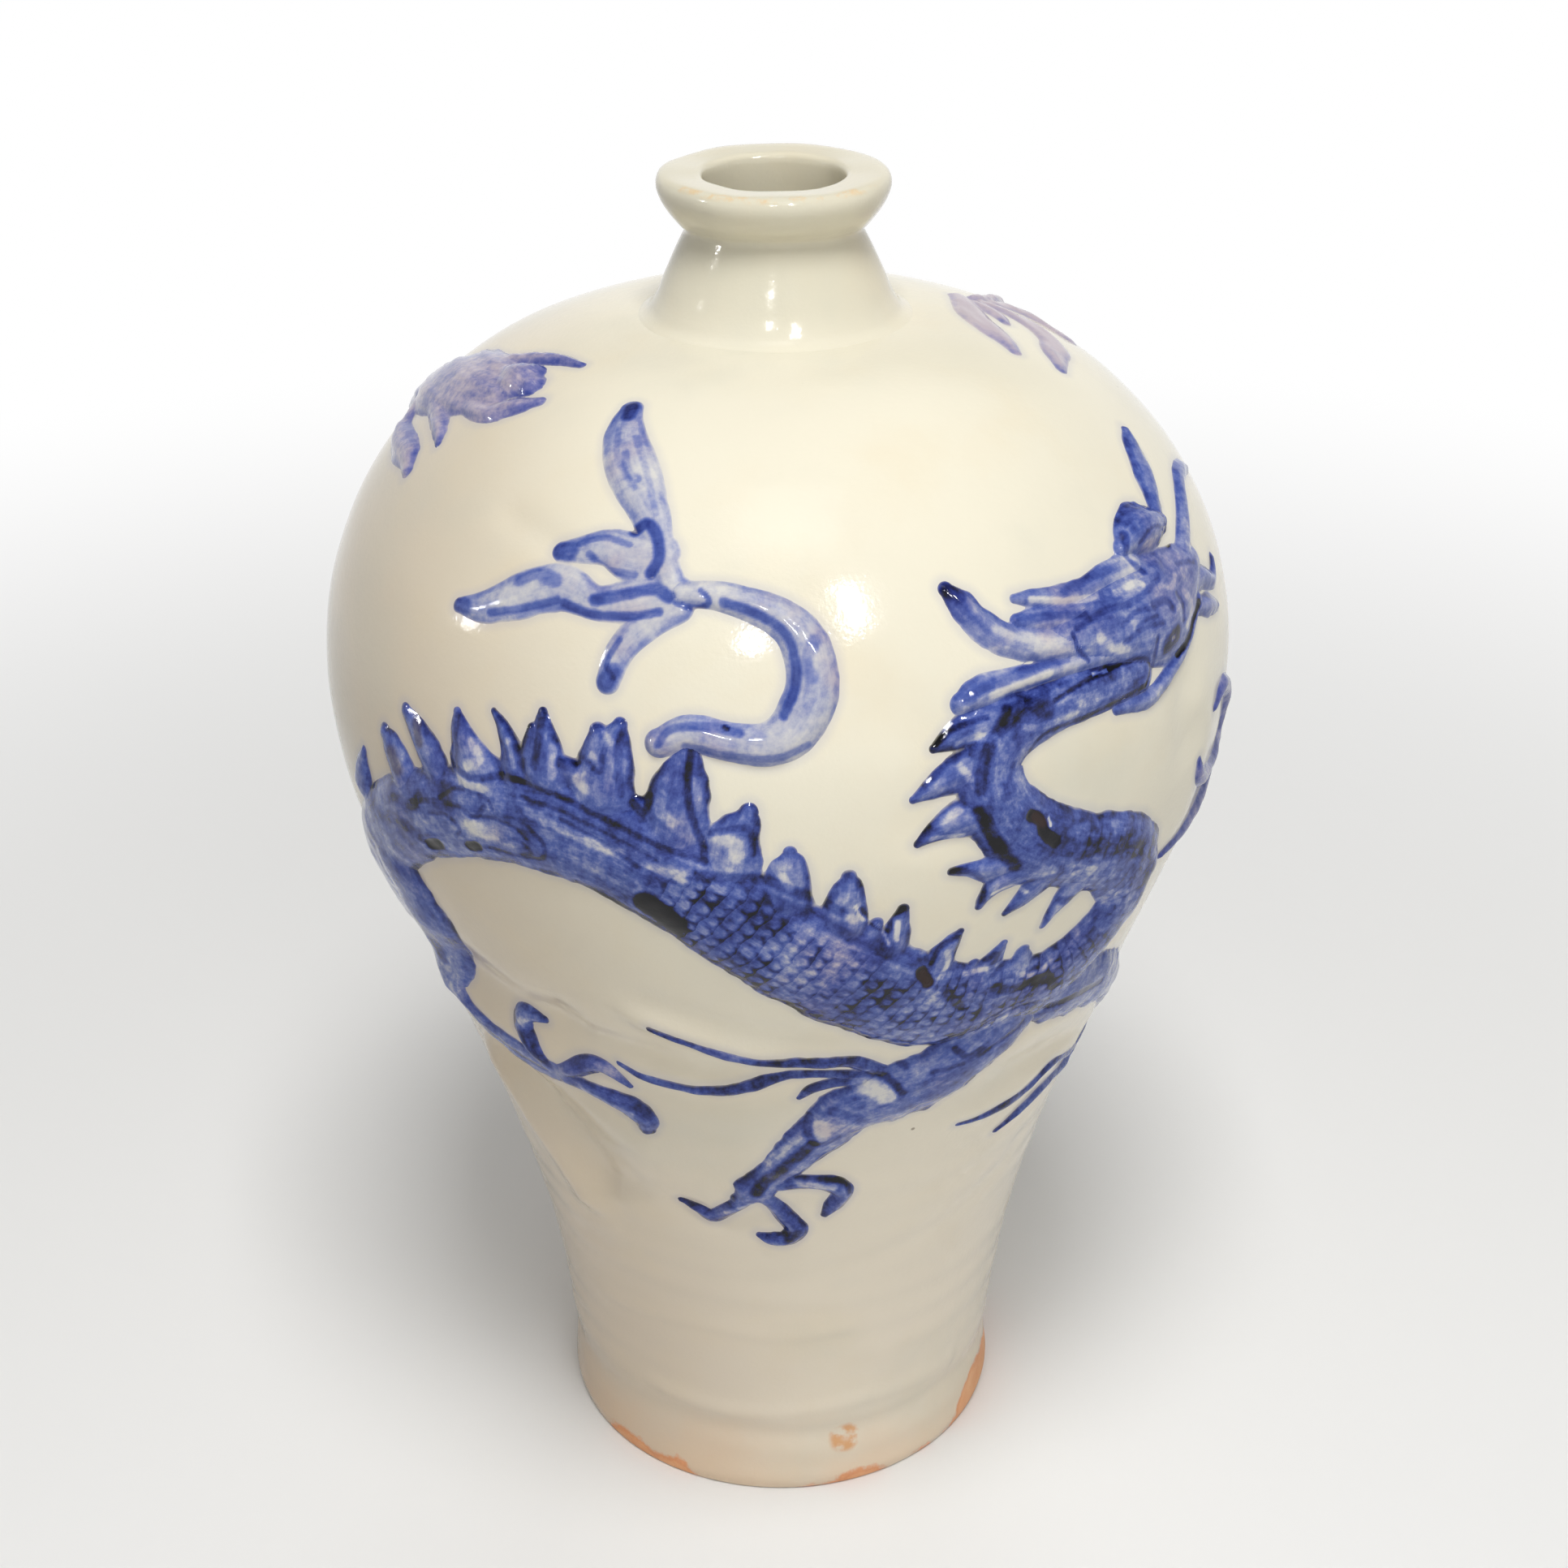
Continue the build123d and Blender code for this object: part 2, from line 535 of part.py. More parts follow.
pieces = {
    "lower_body": lower_body,
    "upper_body": upper_body,
    "neck": neck,
    "front_trunk": front_trunk,
    "front_neck": front_neck,
    "front_head": front_head,
    "front_mane": front_mane,
    "front_near_foreleg": front_near_foreleg,
    "front_far_foreleg": front_far_foreleg,
    "front_hind_leg": front_hind_leg,
    "front_tail": front_tail,
    "front_ribbons": front_ribbons,
    "back_trunk": back_trunk,
    "back_neck": back_neck,
    "back_head": back_head,
    "back_near_foreleg": back_near_foreleg,
    "back_far_foreleg": back_far_foreleg,
    "back_hind_leg": back_hind_leg,
    "back_tail": back_tail,
}
os.makedirs("parts", exist_ok=True)
for name, piece in pieces.items():
    piece.part.label = name
    export_step(piece.part, f"parts/{name}.step")
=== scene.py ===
import math

import bpy
import numpy as np
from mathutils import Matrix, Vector


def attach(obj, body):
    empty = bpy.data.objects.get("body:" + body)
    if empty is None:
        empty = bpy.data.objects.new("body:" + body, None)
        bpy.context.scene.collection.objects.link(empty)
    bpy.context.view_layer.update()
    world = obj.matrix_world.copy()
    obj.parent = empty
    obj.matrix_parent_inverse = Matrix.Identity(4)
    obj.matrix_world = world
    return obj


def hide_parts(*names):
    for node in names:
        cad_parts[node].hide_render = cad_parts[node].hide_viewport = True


# Meiping vase: a thrown and glazed stoneware pot with two dragons of pressed-on, cobalt-painted
# clay. Places on the pot are given as azimuth in degrees (0 is the front, growing to the right)
# and as the share of the way up the body's outline. Widths and rises are in millimetres.

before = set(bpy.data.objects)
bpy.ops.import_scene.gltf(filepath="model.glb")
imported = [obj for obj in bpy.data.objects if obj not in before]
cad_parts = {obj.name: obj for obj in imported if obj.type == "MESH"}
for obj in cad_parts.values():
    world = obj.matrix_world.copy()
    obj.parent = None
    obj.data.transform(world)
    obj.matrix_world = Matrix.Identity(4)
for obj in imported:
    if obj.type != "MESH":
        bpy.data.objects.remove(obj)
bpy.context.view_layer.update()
bpy.ops.object.select_all(action="DESELECT")

MM = 0.001

# the thrown body's outline: radius and height in mm at the places where its arcs meet
FOOT_BOTTOM = (62.8, 0.0)
WAIST = (61.8, 14.0)
FLANK = (75.8, 97.0)
HIP = (108.3, 194.7)
BELLY = (116.4, 239.5)
SHOULDER_TOP = (28.8, 325.4)
OUTLINE_STEPS = 3000


def arc(start, heading, end, count):
    """Places along the arc that leaves start in a heading and ends at end, and its last heading"""
    start, heading, end = (np.array(place, float) for place in (start, heading, end))
    chord = end - start
    side = np.array((-heading[1], heading[0]))
    radius = chord @ chord / (2 * (side @ chord))
    turn = 2 * math.atan2(side @ chord, heading @ chord)
    spoke = -side * radius
    angles = turn * np.linspace(0, 1, count)
    places = (start + side * radius)[None] + np.stack(
        (
            spoke[0] * np.cos(angles) - spoke[1] * np.sin(angles),
            spoke[0] * np.sin(angles) + spoke[1] * np.cos(angles),
        ),
        1,
    )
    last = (
        heading[0] * math.cos(turn) - heading[1] * math.sin(turn),
        heading[0] * math.sin(turn) + heading[1] * math.cos(turn),
    )
    return places, last


hip_line, hip_heading = arc(BELLY, (0, -1), HIP, 200)
flank_line, flank_heading = arc(hip_line[-1], hip_heading, FLANK, 400)
waist_line, _ = arc(flank_line[-1], flank_heading, WAIST, 400)
shoulder_line, _ = arc(BELLY, (0, 1), SHOULDER_TOP, 500)
drawn = np.concatenate(
    (
        [FOOT_BOTTOM],
        waist_line[::-1],
        flank_line[::-1][1:],
        hip_line[::-1][1:],
        shoulder_line[1:],
    )
)
drawn_reach = np.concatenate(([0], np.cumsum(np.hypot(*np.diff(drawn, axis=0).T))))
LENGTH = drawn_reach[-1]
reach_steps = np.linspace(0, LENGTH, OUTLINE_STEPS)
outline_r = np.interp(reach_steps, drawn_reach, drawn[:, 0])
outline_z = np.interp(reach_steps, drawn_reach, drawn[:, 1])


def evened(values, width):
    """A run of values with its kinks rubbed out over a width in steps, and its ends kept"""
    window = np.hanning(width)
    window /= window.sum()
    line = np.linspace(values[0], values[-1], len(values))
    padded = np.pad(values - line, width, mode="reflect", reflect_type="odd")
    return line + np.convolve(padded, window, mode="same")[width:-width]


KINKS = 181
outline_r = evened(outline_r, KINKS)
outline_z = evened(outline_z, KINKS)
slope_r = np.gradient(outline_r, reach_steps)
slope_z = np.gradient(outline_z, reach_steps)
steepness = np.hypot(slope_r, slope_z)
out_r, out_z = slope_z / steepness, -slope_r / steepness


def one_degree(reach):
    """How many mm a degree of azimuth spans at places up the outline"""
    return np.interp(reach, reach_steps, outline_r) * np.pi / 180


def eased(share):
    """A share from 0 to 1, made to start and to end softly"""
    return share * share * (3 - 2 * share)


def laid(route):
    """A listed route in fine steps: azimuth, mm up the outline and share of the width"""
    route = np.array([(*place, 1)[:3] for place in route], float)
    route[:, 1] *= LENGTH
    ends = np.concatenate((2 * route[:1] - route[1:2], route, 2 * route[-1:] - route[-2:-1]))
    fine = []
    for before, start, end, after in zip(ends, ends[1:], ends[2:], ends[3:]):
        for part in np.arange(0, 1, 0.125):
            fine.append(
                0.5
                * (
                    2 * start
                    + (end - before) * part
                    + (2 * before - 5 * start + 4 * end - after) * part**2
                    + (3 * start - before - 3 * end + after) * part**3
                )
            )
    fine.append(route[-1])
    fine = np.array(fine)
    fine[:, 2] = np.maximum(fine[:, 2], 0.05)
    return fine


def along(fine, azimuth, reach):
    """For each place: mm along a route, mm off it (left is positive) and the width share there"""
    degree = one_degree(reach)
    nearest = np.full(len(azimuth), np.inf)
    run, off, share = (np.zeros(len(azimuth)) for _ in range(3))
    travelled = 0.0
    for start, end in zip(fine, fine[1:]):
        turned, climbed, widened = end - start
        across = turned * degree
        start_across, start_up = (start[0] - azimuth) * degree, start[1] - reach
        part = -(start_across * across + start_up * climbed)
        part = np.clip(part / (across * across + climbed * climbed + 1e-9), 0, 1)
        gap_across, gap_up = start_across + part * across, start_up + part * climbed
        distance = gap_across * gap_across + gap_up * gap_up
        closer = distance < nearest
        nearest = np.where(closer, distance, nearest)
        length = np.hypot(turned * one_degree(start[1]), climbed)
        run = np.where(closer, travelled + part * length, run)
        off = np.where(closer, np.sign(climbed * gap_across - across * gap_up), off)
        share = np.where(closer, start[2] + part * widened, share)
        travelled += length
    return run, off * np.sqrt(nearest), share


def near(fine, azimuth, reach, margin):
    """Which places lie in the box round a route"""
    degree = one_degree(reach)
    low, high = fine.min(0), fine.max(0)
    return (
        (reach > low[1] - margin)
        & (reach < high[1] + margin)
        & ((azimuth - low[0]) * degree > -margin)
        & ((azimuth - high[0]) * degree < margin)
    )


# Dents and swells that hands left in the wall: azimuth, share, reach across and up, mm deep
hand_dents = (
    (-34, 0.520, 22, 30, -0.9),
    (-38, 0.482, 12, 7, 0.9),
    (-50, 0.300, 12, 60, 0.5),
    (-20, 0.500, 30, 10, 0.5),
    (10, 0.690, 40, 30, -0.5),
    (35, 0.650, 20, 22, -0.6),
    (-60, 0.350, 10, 40, -0.7),
    (60, 0.300, 30, 30, -0.6),
    (-70, 0.800, 30, 20, -0.5),
    (20, 0.200, 40, 30, -0.4),
    (-10, 0.350, 18, 22, -0.5),
    (45, 0.390, 25, 10, -0.5),
    (120, 0.600, 40, 40, -0.5),
    (190, 0.400, 40, 50, -0.6),
    (240, 0.550, 30, 40, -0.5),
    (160, 0.800, 40, 30, -0.5),
)

# Folds pushed up or down in the wall: mm high, mm wide, and the route they follow
hand_folds = (
    (2.0, 4.2, ((-22, 0.501), (-13, 0.487), (-7, 0.475), (0, 0.469), (8, 0.465), (14, 0.452))),
    (-1.0, 5.0, ((-22, 0.515), (-14, 0.508), (-6, 0.495), (1, 0.487), (8, 0.478))),
    (1.8, 3.6, ((-25, 0.447), (-18, 0.439), (-11, 0.435), (-4, 0.441), (3, 0.449))),
    (-1.1, 4.6, ((-34, 0.462), (-26, 0.460), (-18, 0.456), (-10, 0.455))),
    (1.9, 5.0, ((-60, 0.464), (-52, 0.442), (-46, 0.434), (-38, 0.428), (-28, 0.416), (-22, 0.397))),
    (-2.0, 8.0, ((-56, 0.497), (-48, 0.480), (-38, 0.472), (-24, 0.470))),
    (-3.4, 6.0, ((-54, 0.402), (-48, 0.380), (-42, 0.347), (-37, 0.312), (-34, 0.275))),
    (2.6, 6.0, ((-60, 0.390), (-54, 0.362), (-48, 0.325), (-43, 0.285), (-39, 0.250))),
    (-1.5, 6.0, ((-44, 0.392), (-36, 0.352), (-30, 0.312), (-26, 0.285))),
    (-1.6, 6.0, ((-24, 0.300), (-16, 0.288), (-8, 0.284), (0, 0.300))),
    (1.2, 6.0, ((-34, 0.388), (-26, 0.360), (-19, 0.325))),
    (1.2, 6.0, ((40, 0.446), (50, 0.430), (60, 0.404), (70, 0.374))),
    (-1.2, 5.0, ((34, 0.402), (46, 0.398), (56, 0.386))),
    (1.4, 4.4, ((28, 0.372), (40, 0.372), (52, 0.384), (64, 0.370))),
    (-0.8, 8.0, ((8, 0.735), (14, 0.720), (18, 0.690), (16, 0.650), (14, 0.620))),
    (0.7, 8.0, ((58, 0.680), (64, 0.640), (62, 0.590), (60, 0.550))),
    (-1.0, 8.0, ((60, 0.620), (57, 0.660), (60, 0.700))),
    (-0.8, 4.0, ((-45, 0.820), (-35, 0.812), (-25, 0.800))),
    (0.7, 3.0, ((-40, 0.080), (-10, 0.075), (20, 0.080), (50, 0.075))),
    (0.5, 3.0, ((-50, 0.150), (-20, 0.160), (0, 0.155), (14, 0.160))),
    (-0.5, 5.0, ((-10, 0.210), (15, 0.225), (40, 0.250), (55, 0.285))),
)
fold_routes = [(tall, wide, laid(route)) for tall, wide, route in hand_folds]


def hand_marks(azimuth, reach):
    """How far the wall stands out of its true outline, in mm: throwing rings, swells and dents"""
    turn = np.radians(azimuth)
    share = reach / LENGTH
    low = np.clip((0.55 - share) / 0.45, 0, 1)
    rings = 0.09 * low * np.sin(reach / 1.9 + turn + 0.8 * np.sin(2 * turn))
    rings *= 1 + np.sin(reach / 9 + 2 * turn)
    rings += 0.05 * np.sin(reach / 3.7 + turn)
    swell = 0.22 * np.sin(3 * turn + 5 * share) * np.sin(9 * share + 1)
    swell += 0.16 * np.sin(5 * turn - 11 * share + 2)
    marks = rings + swell - 0.45
    around = np.interp(reach, reach_steps, outline_r)
    for middle, height, wide, tall, depth in hand_dents:
        aside = (np.mod(azimuth - middle + 180, 360) - 180) * np.pi / 180 * around
        above = reach - height * LENGTH
        marks += depth * np.exp(-((aside / wide) ** 2) - (above / tall) ** 2)
    for tall, wide, route in fold_routes:
        nearby = near(route, azimuth, reach, wide * 2.5)
        if nearby.any():
            run, off, _ = along(route, azimuth[nearby], reach[nearby])
            length = np.hypot(np.diff(route[:, 0]) * 1.6, np.diff(route[:, 1])).sum()
            ends = np.clip(np.minimum(run, length - run) / 9 + 0.05, 0, 1)
            marks[nearby] += tall * ends * np.exp(-((off / wide) ** 2))
    foot_groove = 0.9 * np.exp(-(((reach - 19) / 4.5) ** 2))
    foot_edge = 1.2 * np.exp(-((reach / 2.2) ** 2))
    fade = np.clip(reach / 8, 0, 1) * np.clip((LENGTH - reach) / 12, 0, 1)
    return marks * fade - foot_groove - foot_edge


def on_wall(azimuth, reach, lift):
    """Places on the wall in metres, from azimuth, mm up the outline and mm of lift off it"""
    lift = lift + hand_marks(azimuth, reach)
    radius = np.interp(reach, reach_steps, outline_r) + lift * np.interp(reach, reach_steps, out_r)
    height = np.interp(reach, reach_steps, outline_z) + lift * np.interp(reach, reach_steps, out_z)
    turn = np.radians(azimuth)
    return np.stack((radius * np.sin(turn), -radius * np.cos(turn), height), -1) * MM


# the pot


def vertices_of(piece):
    """All the vertices' places of a piece"""
    places = np.empty(len(piece.data.vertices) * 3)
    piece.data.vertices.foreach_get("co", places)
    return places.reshape(-1, 3)


def place_vertices(piece, places):
    """Puts a piece's vertices in new places"""
    piece.data.vertices.foreach_set("co", places.ravel())
    piece.data.update()


def paint(piece, name, values):
    """Writes one figure per vertex that the piece's material reads"""
    layer = piece.data.attributes.get(name) or piece.data.attributes.new(name, "FLOAT", "POINT")
    layer.data.foreach_set("value", np.ascontiguousarray(values, dtype=np.float32))


def thrown(name, outline, turns):
    """A piece turned on the wheel: its outline is drawn up point by point, then spun round"""
    bpy.ops.mesh.primitive_plane_add(size=MM, location=(0, 0, 0))
    piece = bpy.context.object
    piece.name = piece.data.name = name
    bpy.ops.object.mode_set(mode="EDIT")
    bpy.ops.mesh.select_all(action="SELECT")
    bpy.ops.mesh.merge(type="CENTER")
    radius, height = outline[0]
    bpy.ops.transform.translate(value=(0, -radius * MM, height * MM))
    for (radius, height), (next_radius, next_height) in zip(outline, outline[1:]):
        step = (0, (radius - next_radius) * MM, (next_height - height) * MM)
        bpy.ops.mesh.extrude_vertices_move(TRANSFORM_OT_translate={"value": step})
    bpy.ops.mesh.select_all(action="SELECT")
    bpy.ops.mesh.spin(steps=turns, angle=2 * math.pi, center=(0, 0, 0), axis=(0, 0, 1))
    bpy.ops.mesh.select_all(action="SELECT")
    bpy.ops.mesh.remove_doubles(threshold=0.002 * MM)
    bpy.ops.mesh.normals_make_consistent(inside=False)
    bpy.ops.object.mode_set(mode="OBJECT")
    bpy.ops.object.shade_smooth_by_angle(angle=math.radians(40))
    return piece


def knead(piece, first, last):
    """Gives the outside of a thrown piece its dents, and tells which vertices lie on it"""
    places = vertices_of(piece)
    radius = np.hypot(places[:, 0], places[:, 1]) / MM
    height = places[:, 2] / MM
    azimuth = np.degrees(np.arctan2(places[:, 0], -places[:, 1]))
    reach = np.interp(height, outline_z, reach_steps)
    outside = np.abs(radius - np.interp(height, outline_z, outline_r)) < 0.02
    outside &= (reach >= first - 1e-3) & (reach <= last + 1e-3)
    azimuth, reach = azimuth[outside], reach[outside]
    tuck = 0.04 * ((reach < first + 0.5) & (first > 1)) + 0.04 * (reach > last - 0.5)
    places[outside] = on_wall(azimuth, reach, -tuck)
    place_vertices(piece, places)
    return outside, azimuth, reach


def outline_places(first, last, count):
    """Radius and height at even steps of the body's outline"""
    reach = np.linspace(first, last, count)
    return [
        (float(r), float(z))
        for r, z in zip(
            np.interp(reach, reach_steps, outline_r), np.interp(reach, reach_steps, outline_z)
        )
    ]


# The two throwings meet at the hip, and the upper one ends under the neck: mm up the outline
SEAM = float(np.interp(HIP[1], outline_z, reach_steps))
SHOULDER_END = LENGTH - 1.2
OVERLAP = 1.5

lower_wall = thrown(
    "thrown_lower_body",
    [(0, 3.5), (30, 3.5), (46.5, 3.5), (48.4, 3.2), (49.8, 2.0), (50.6, 0.6), (51.6, 0.0)]
    + [(55, 0), (58.5, 0), (60.9, 0.05)]
    + outline_places(0.6, SEAM + OVERLAP, 180)
    + [(104, 195.7), (101.8, 194.7), (85, 140), (68, 97), (52, 20), (44, 14.6), (20, 14), (0, 14)],
    480,
)
upper_wall = thrown(
    "thrown_upper_body",
    [(101.8, 194.7), (104, 193.8)]
    + outline_places(SEAM - OVERLAP, SHOULDER_END, 180)
    + [(28.4, 322.8), (22, 321), (17.4, 319.8), (26, 319), (50, 315), (80, 299), (101, 272)]
    + [(109.9, 239.5), (101.8, 194.7)],
    512,
)
neck = thrown(
    "neck_and_lip",
    [(17.2, 321.5), (28.6, 322.9), (34.2, 324.7), (33.4, 325.15), (32.6, 325.5), (31.8, 325.9)]
    + [(31.1, 326.4), (30.5, 327.1), (30.0, 327.9), (29.5, 328.8), (28.6, 330.4), (27.8, 332.4)]
    + [(27.0, 334.4), (26.1, 336.4), (25.2, 338.4), (24.4, 340.2), (23.5, 342.1)]
    + [(22.6, 343.9), (22.0, 345.0), (21.7, 345.8), (21.9, 346.4), (22.6, 347.0), (23.4, 348.0)]
    + [(24.2, 349.1), (25.1, 350.3), (26.0, 351.6), (26.8, 352.9), (27.5, 354.2)]
    + [(28.0, 355.5), (28.3, 356.7), (28.3, 357.7), (28.1, 358.5)]
    + [(27.7, 359.2), (27.2, 359.6), (26.5, 359.85), (25.4, 359.95), (23.5, 359.9)]
    + [(21.5, 359.75), (19.6, 359.6), (18.5, 359.5), (17.9, 359.3), (17.45, 358.9), (17.2, 358.3)]
    + [(17.05, 357), (17.0, 354), (16.95, 345), (16.95, 335), (17.0, 326), (17.2, 321.5)],
    256,
)


def press_lip(neck):
    """Takes the neck and lip a little out of true, as the potter's hands leave them"""
    places = vertices_of(neck)
    turn = np.arctan2(places[:, 0], -places[:, 1])
    hand = np.clip((places[:, 2] / MM - 328) / 20, 0, 1)
    squeeze = 0.25 * np.sin(3 * turn + 1.0) + 0.22 * np.sin(5 * turn + 2.2)
    squeeze += 0.12 * np.sin(9 * turn) - 0.1
    places[:, :2] *= (1 + squeeze * hand / 28)[:, None]
    level = 0.12 * np.sin(4 * turn + 1.6) + 0.08 * np.sin(7 * turn + 1) - 0.22 * np.cos(turn)
    places[:, 2] += (level - 0.4) * hand * MM
    # the roll of the lip is pushed up in front, where a thin dark crease shows under it
    crease = np.exp(-(((places[:, 2] / MM - 346) / 3.6) ** 2)) * np.clip(np.cos(turn), 0, 1)
    places[:, 2] += 1.9 * MM * crease * (np.hypot(places[:, 0], places[:, 1]) > 20 * MM)
    place_vertices(neck, places)


press_lip(neck)
bpy.ops.object.select_all(action="DESELECT")

# the dragons' rolls and strips: each route gives azimuth, share up the outline, share of width
routes = {
    "front_trunk": (
        (-80, 0.440, 0.35), (-76, 0.465, 0.62), (-70, 0.500, 0.8), (-62, 0.550, 0.9),
        (-52, 0.597, 0.85), (-41, 0.627, 0.83), (-30, 0.638, 0.88), (-20, 0.637, 0.97),
        (-10, 0.612, 1), (0, 0.572, 1.05), (10, 0.535, 1.12), (20, 0.503, 1.1), (30, 0.493, 1),
        (40, 0.490, 0.92),
    ),
    "front_neck": (
        (36, 0.492, 1.2), (43, 0.505, 1.25), (48, 0.530, 1.25), (49, 0.560, 1.2),
        (45, 0.585, 1.1), (39, 0.600, 1), (33, 0.615, 1), (28, 0.635, 0.95), (25, 0.660, 0.85),
        (25, 0.685, 0.78), (29, 0.700, 0.68), (35, 0.706, 0.6), (42, 0.706, 0.55),
        (48, 0.704, 0.45),
    ),
    "front_skull": (
        (37, 0.743, 0.5), (43, 0.742, 0.8), (49, 0.738, 1.05), (55, 0.735, 1.15),
        (60, 0.738, 0.9), (64, 0.742, 0.6), (67, 0.743, 0.35),
    ),
    "front_brow": (
        (51.5, 0.778, 0.35), (54, 0.782, 0.75), (57, 0.783, 0.95), (60, 0.781, 0.8),
        (63, 0.778, 0.4),
    ),
    "front_jaw": (
        (43, 0.690, 0.3), (49, 0.687, 0.45), (55, 0.696, 0.5), (60, 0.708, 0.45), (65, 0.722, 0.3),
    ),
    "front_near_foreleg": (
        (32, 0.455, 1.5), (25, 0.430, 1.55), (18, 0.418, 1.45), (11, 0.405, 1.2),
        (6, 0.380, 0.95), (2, 0.355, 0.75), (-2, 0.332, 0.62), (-5, 0.315, 0.7),
        (-7, 0.308, 0.35),
    ),
    "front_far_foreleg": (
        (44, 0.470, 1.3), (51, 0.460, 1.15), (58, 0.443, 1), (64, 0.425, 0.85), (70, 0.400, 0.75),
        (76, 0.372, 0.7), (80, 0.352, 0.6),
    ),
    "front_hind_leg": (
        (-57, 0.550, 1.5), (-55, 0.515, 1.6), (-55, 0.480, 1.3), (-57, 0.452, 1),
        (-54, 0.430, 0.85), (-48, 0.418, 0.8), (-41, 0.411, 0.75), (-35, 0.410, 0.6),
    ),
    "front_tail": (
        (-13, 0.704, 0.8), (-9.5, 0.711, 1), (-5, 0.707, 1.05), (-1, 0.706, 1.2),
        (2.2, 0.716, 1.4), (4, 0.735, 1.45), (4, 0.755, 1.35), (2, 0.773, 1.15),
        (-2, 0.784, 0.95), (-7, 0.790, 0.8), (-12, 0.790, 0.7),
    ),
    "back_trunk": (
        (110, 0.500, 0.5), (118, 0.530, 0.8), (127, 0.572, 0.9), (137, 0.605, 0.88),
        (148, 0.623, 0.9), (159, 0.628, 0.95), (170, 0.617, 1), (180, 0.590, 1.02),
        (190, 0.557, 1.05), (200, 0.525, 1.08), (210, 0.505, 1.05), (220, 0.497, 0.95),
    ),
    "back_neck": (
        (217, 0.498, 1.2), (224, 0.508, 1.22), (229, 0.530, 1.2), (230, 0.557, 1.15),
        (226, 0.580, 1.1), (220, 0.598, 1), (215, 0.620, 0.95), (213, 0.645, 0.9),
        (215, 0.670, 0.85), (220, 0.690, 0.8), (227, 0.710, 0.75), (234, 0.735, 0.75),
        (241, 0.760, 0.75), (248, 0.785, 0.75), (255, 0.810, 0.7), (262, 0.832, 0.6),
    ),
    "back_skull": (
        (261, 0.835, 0.6), (267, 0.844, 0.85), (273, 0.857, 1), (280, 0.870, 1),
        (287, 0.880, 0.9), (293, 0.887, 0.6),
    ),
    "back_brow": ((290, 0.895, 0.5), (293.5, 0.897, 0.85), (297, 0.898, 0.9), (300, 0.899, 0.55)),
    "back_jaw": (
        (268, 0.826, 0.5), (275, 0.812, 0.8), (281, 0.812, 0.9), (287, 0.814, 0.8),
        (290.5, 0.808, 0.4),
    ),
    "back_near_foreleg": (
        (206, 0.480, 1.4), (200, 0.452, 1.45), (193, 0.430, 1.3), (187, 0.405, 1.1),
        (182, 0.378, 0.9), (178, 0.352, 0.75), (175, 0.330, 0.65), (173, 0.318, 0.6),
    ),
    "back_far_foreleg": (
        (222, 0.475, 1.3), (229, 0.455, 1.15), (236, 0.435, 1), (243, 0.412, 0.85),
        (249, 0.388, 0.75), (253, 0.368, 0.6),
    ),
    "back_hind_leg": (
        (114, 0.520, 1.4), (106, 0.530, 1.3), (98, 0.545, 1.1), (91, 0.565, 0.9),
        (84, 0.583, 0.8), (79, 0.592, 0.6),
    ),
    "back_tail": (
        (150, 0.662, 0.8), (154, 0.672, 1), (159, 0.672, 1.05), (164, 0.680, 1.2),
        (167, 0.700, 1.4), (166, 0.722, 1.45), (161, 0.742, 1.3), (154, 0.757, 1.15),
        (146, 0.775, 0.95), (140, 0.800, 0.85), (136, 0.830, 0.75), (131, 0.860, 0.7),
        (124, 0.890, 0.65), (116, 0.915, 0.6), (110, 0.935, 0.55),
    ),
}

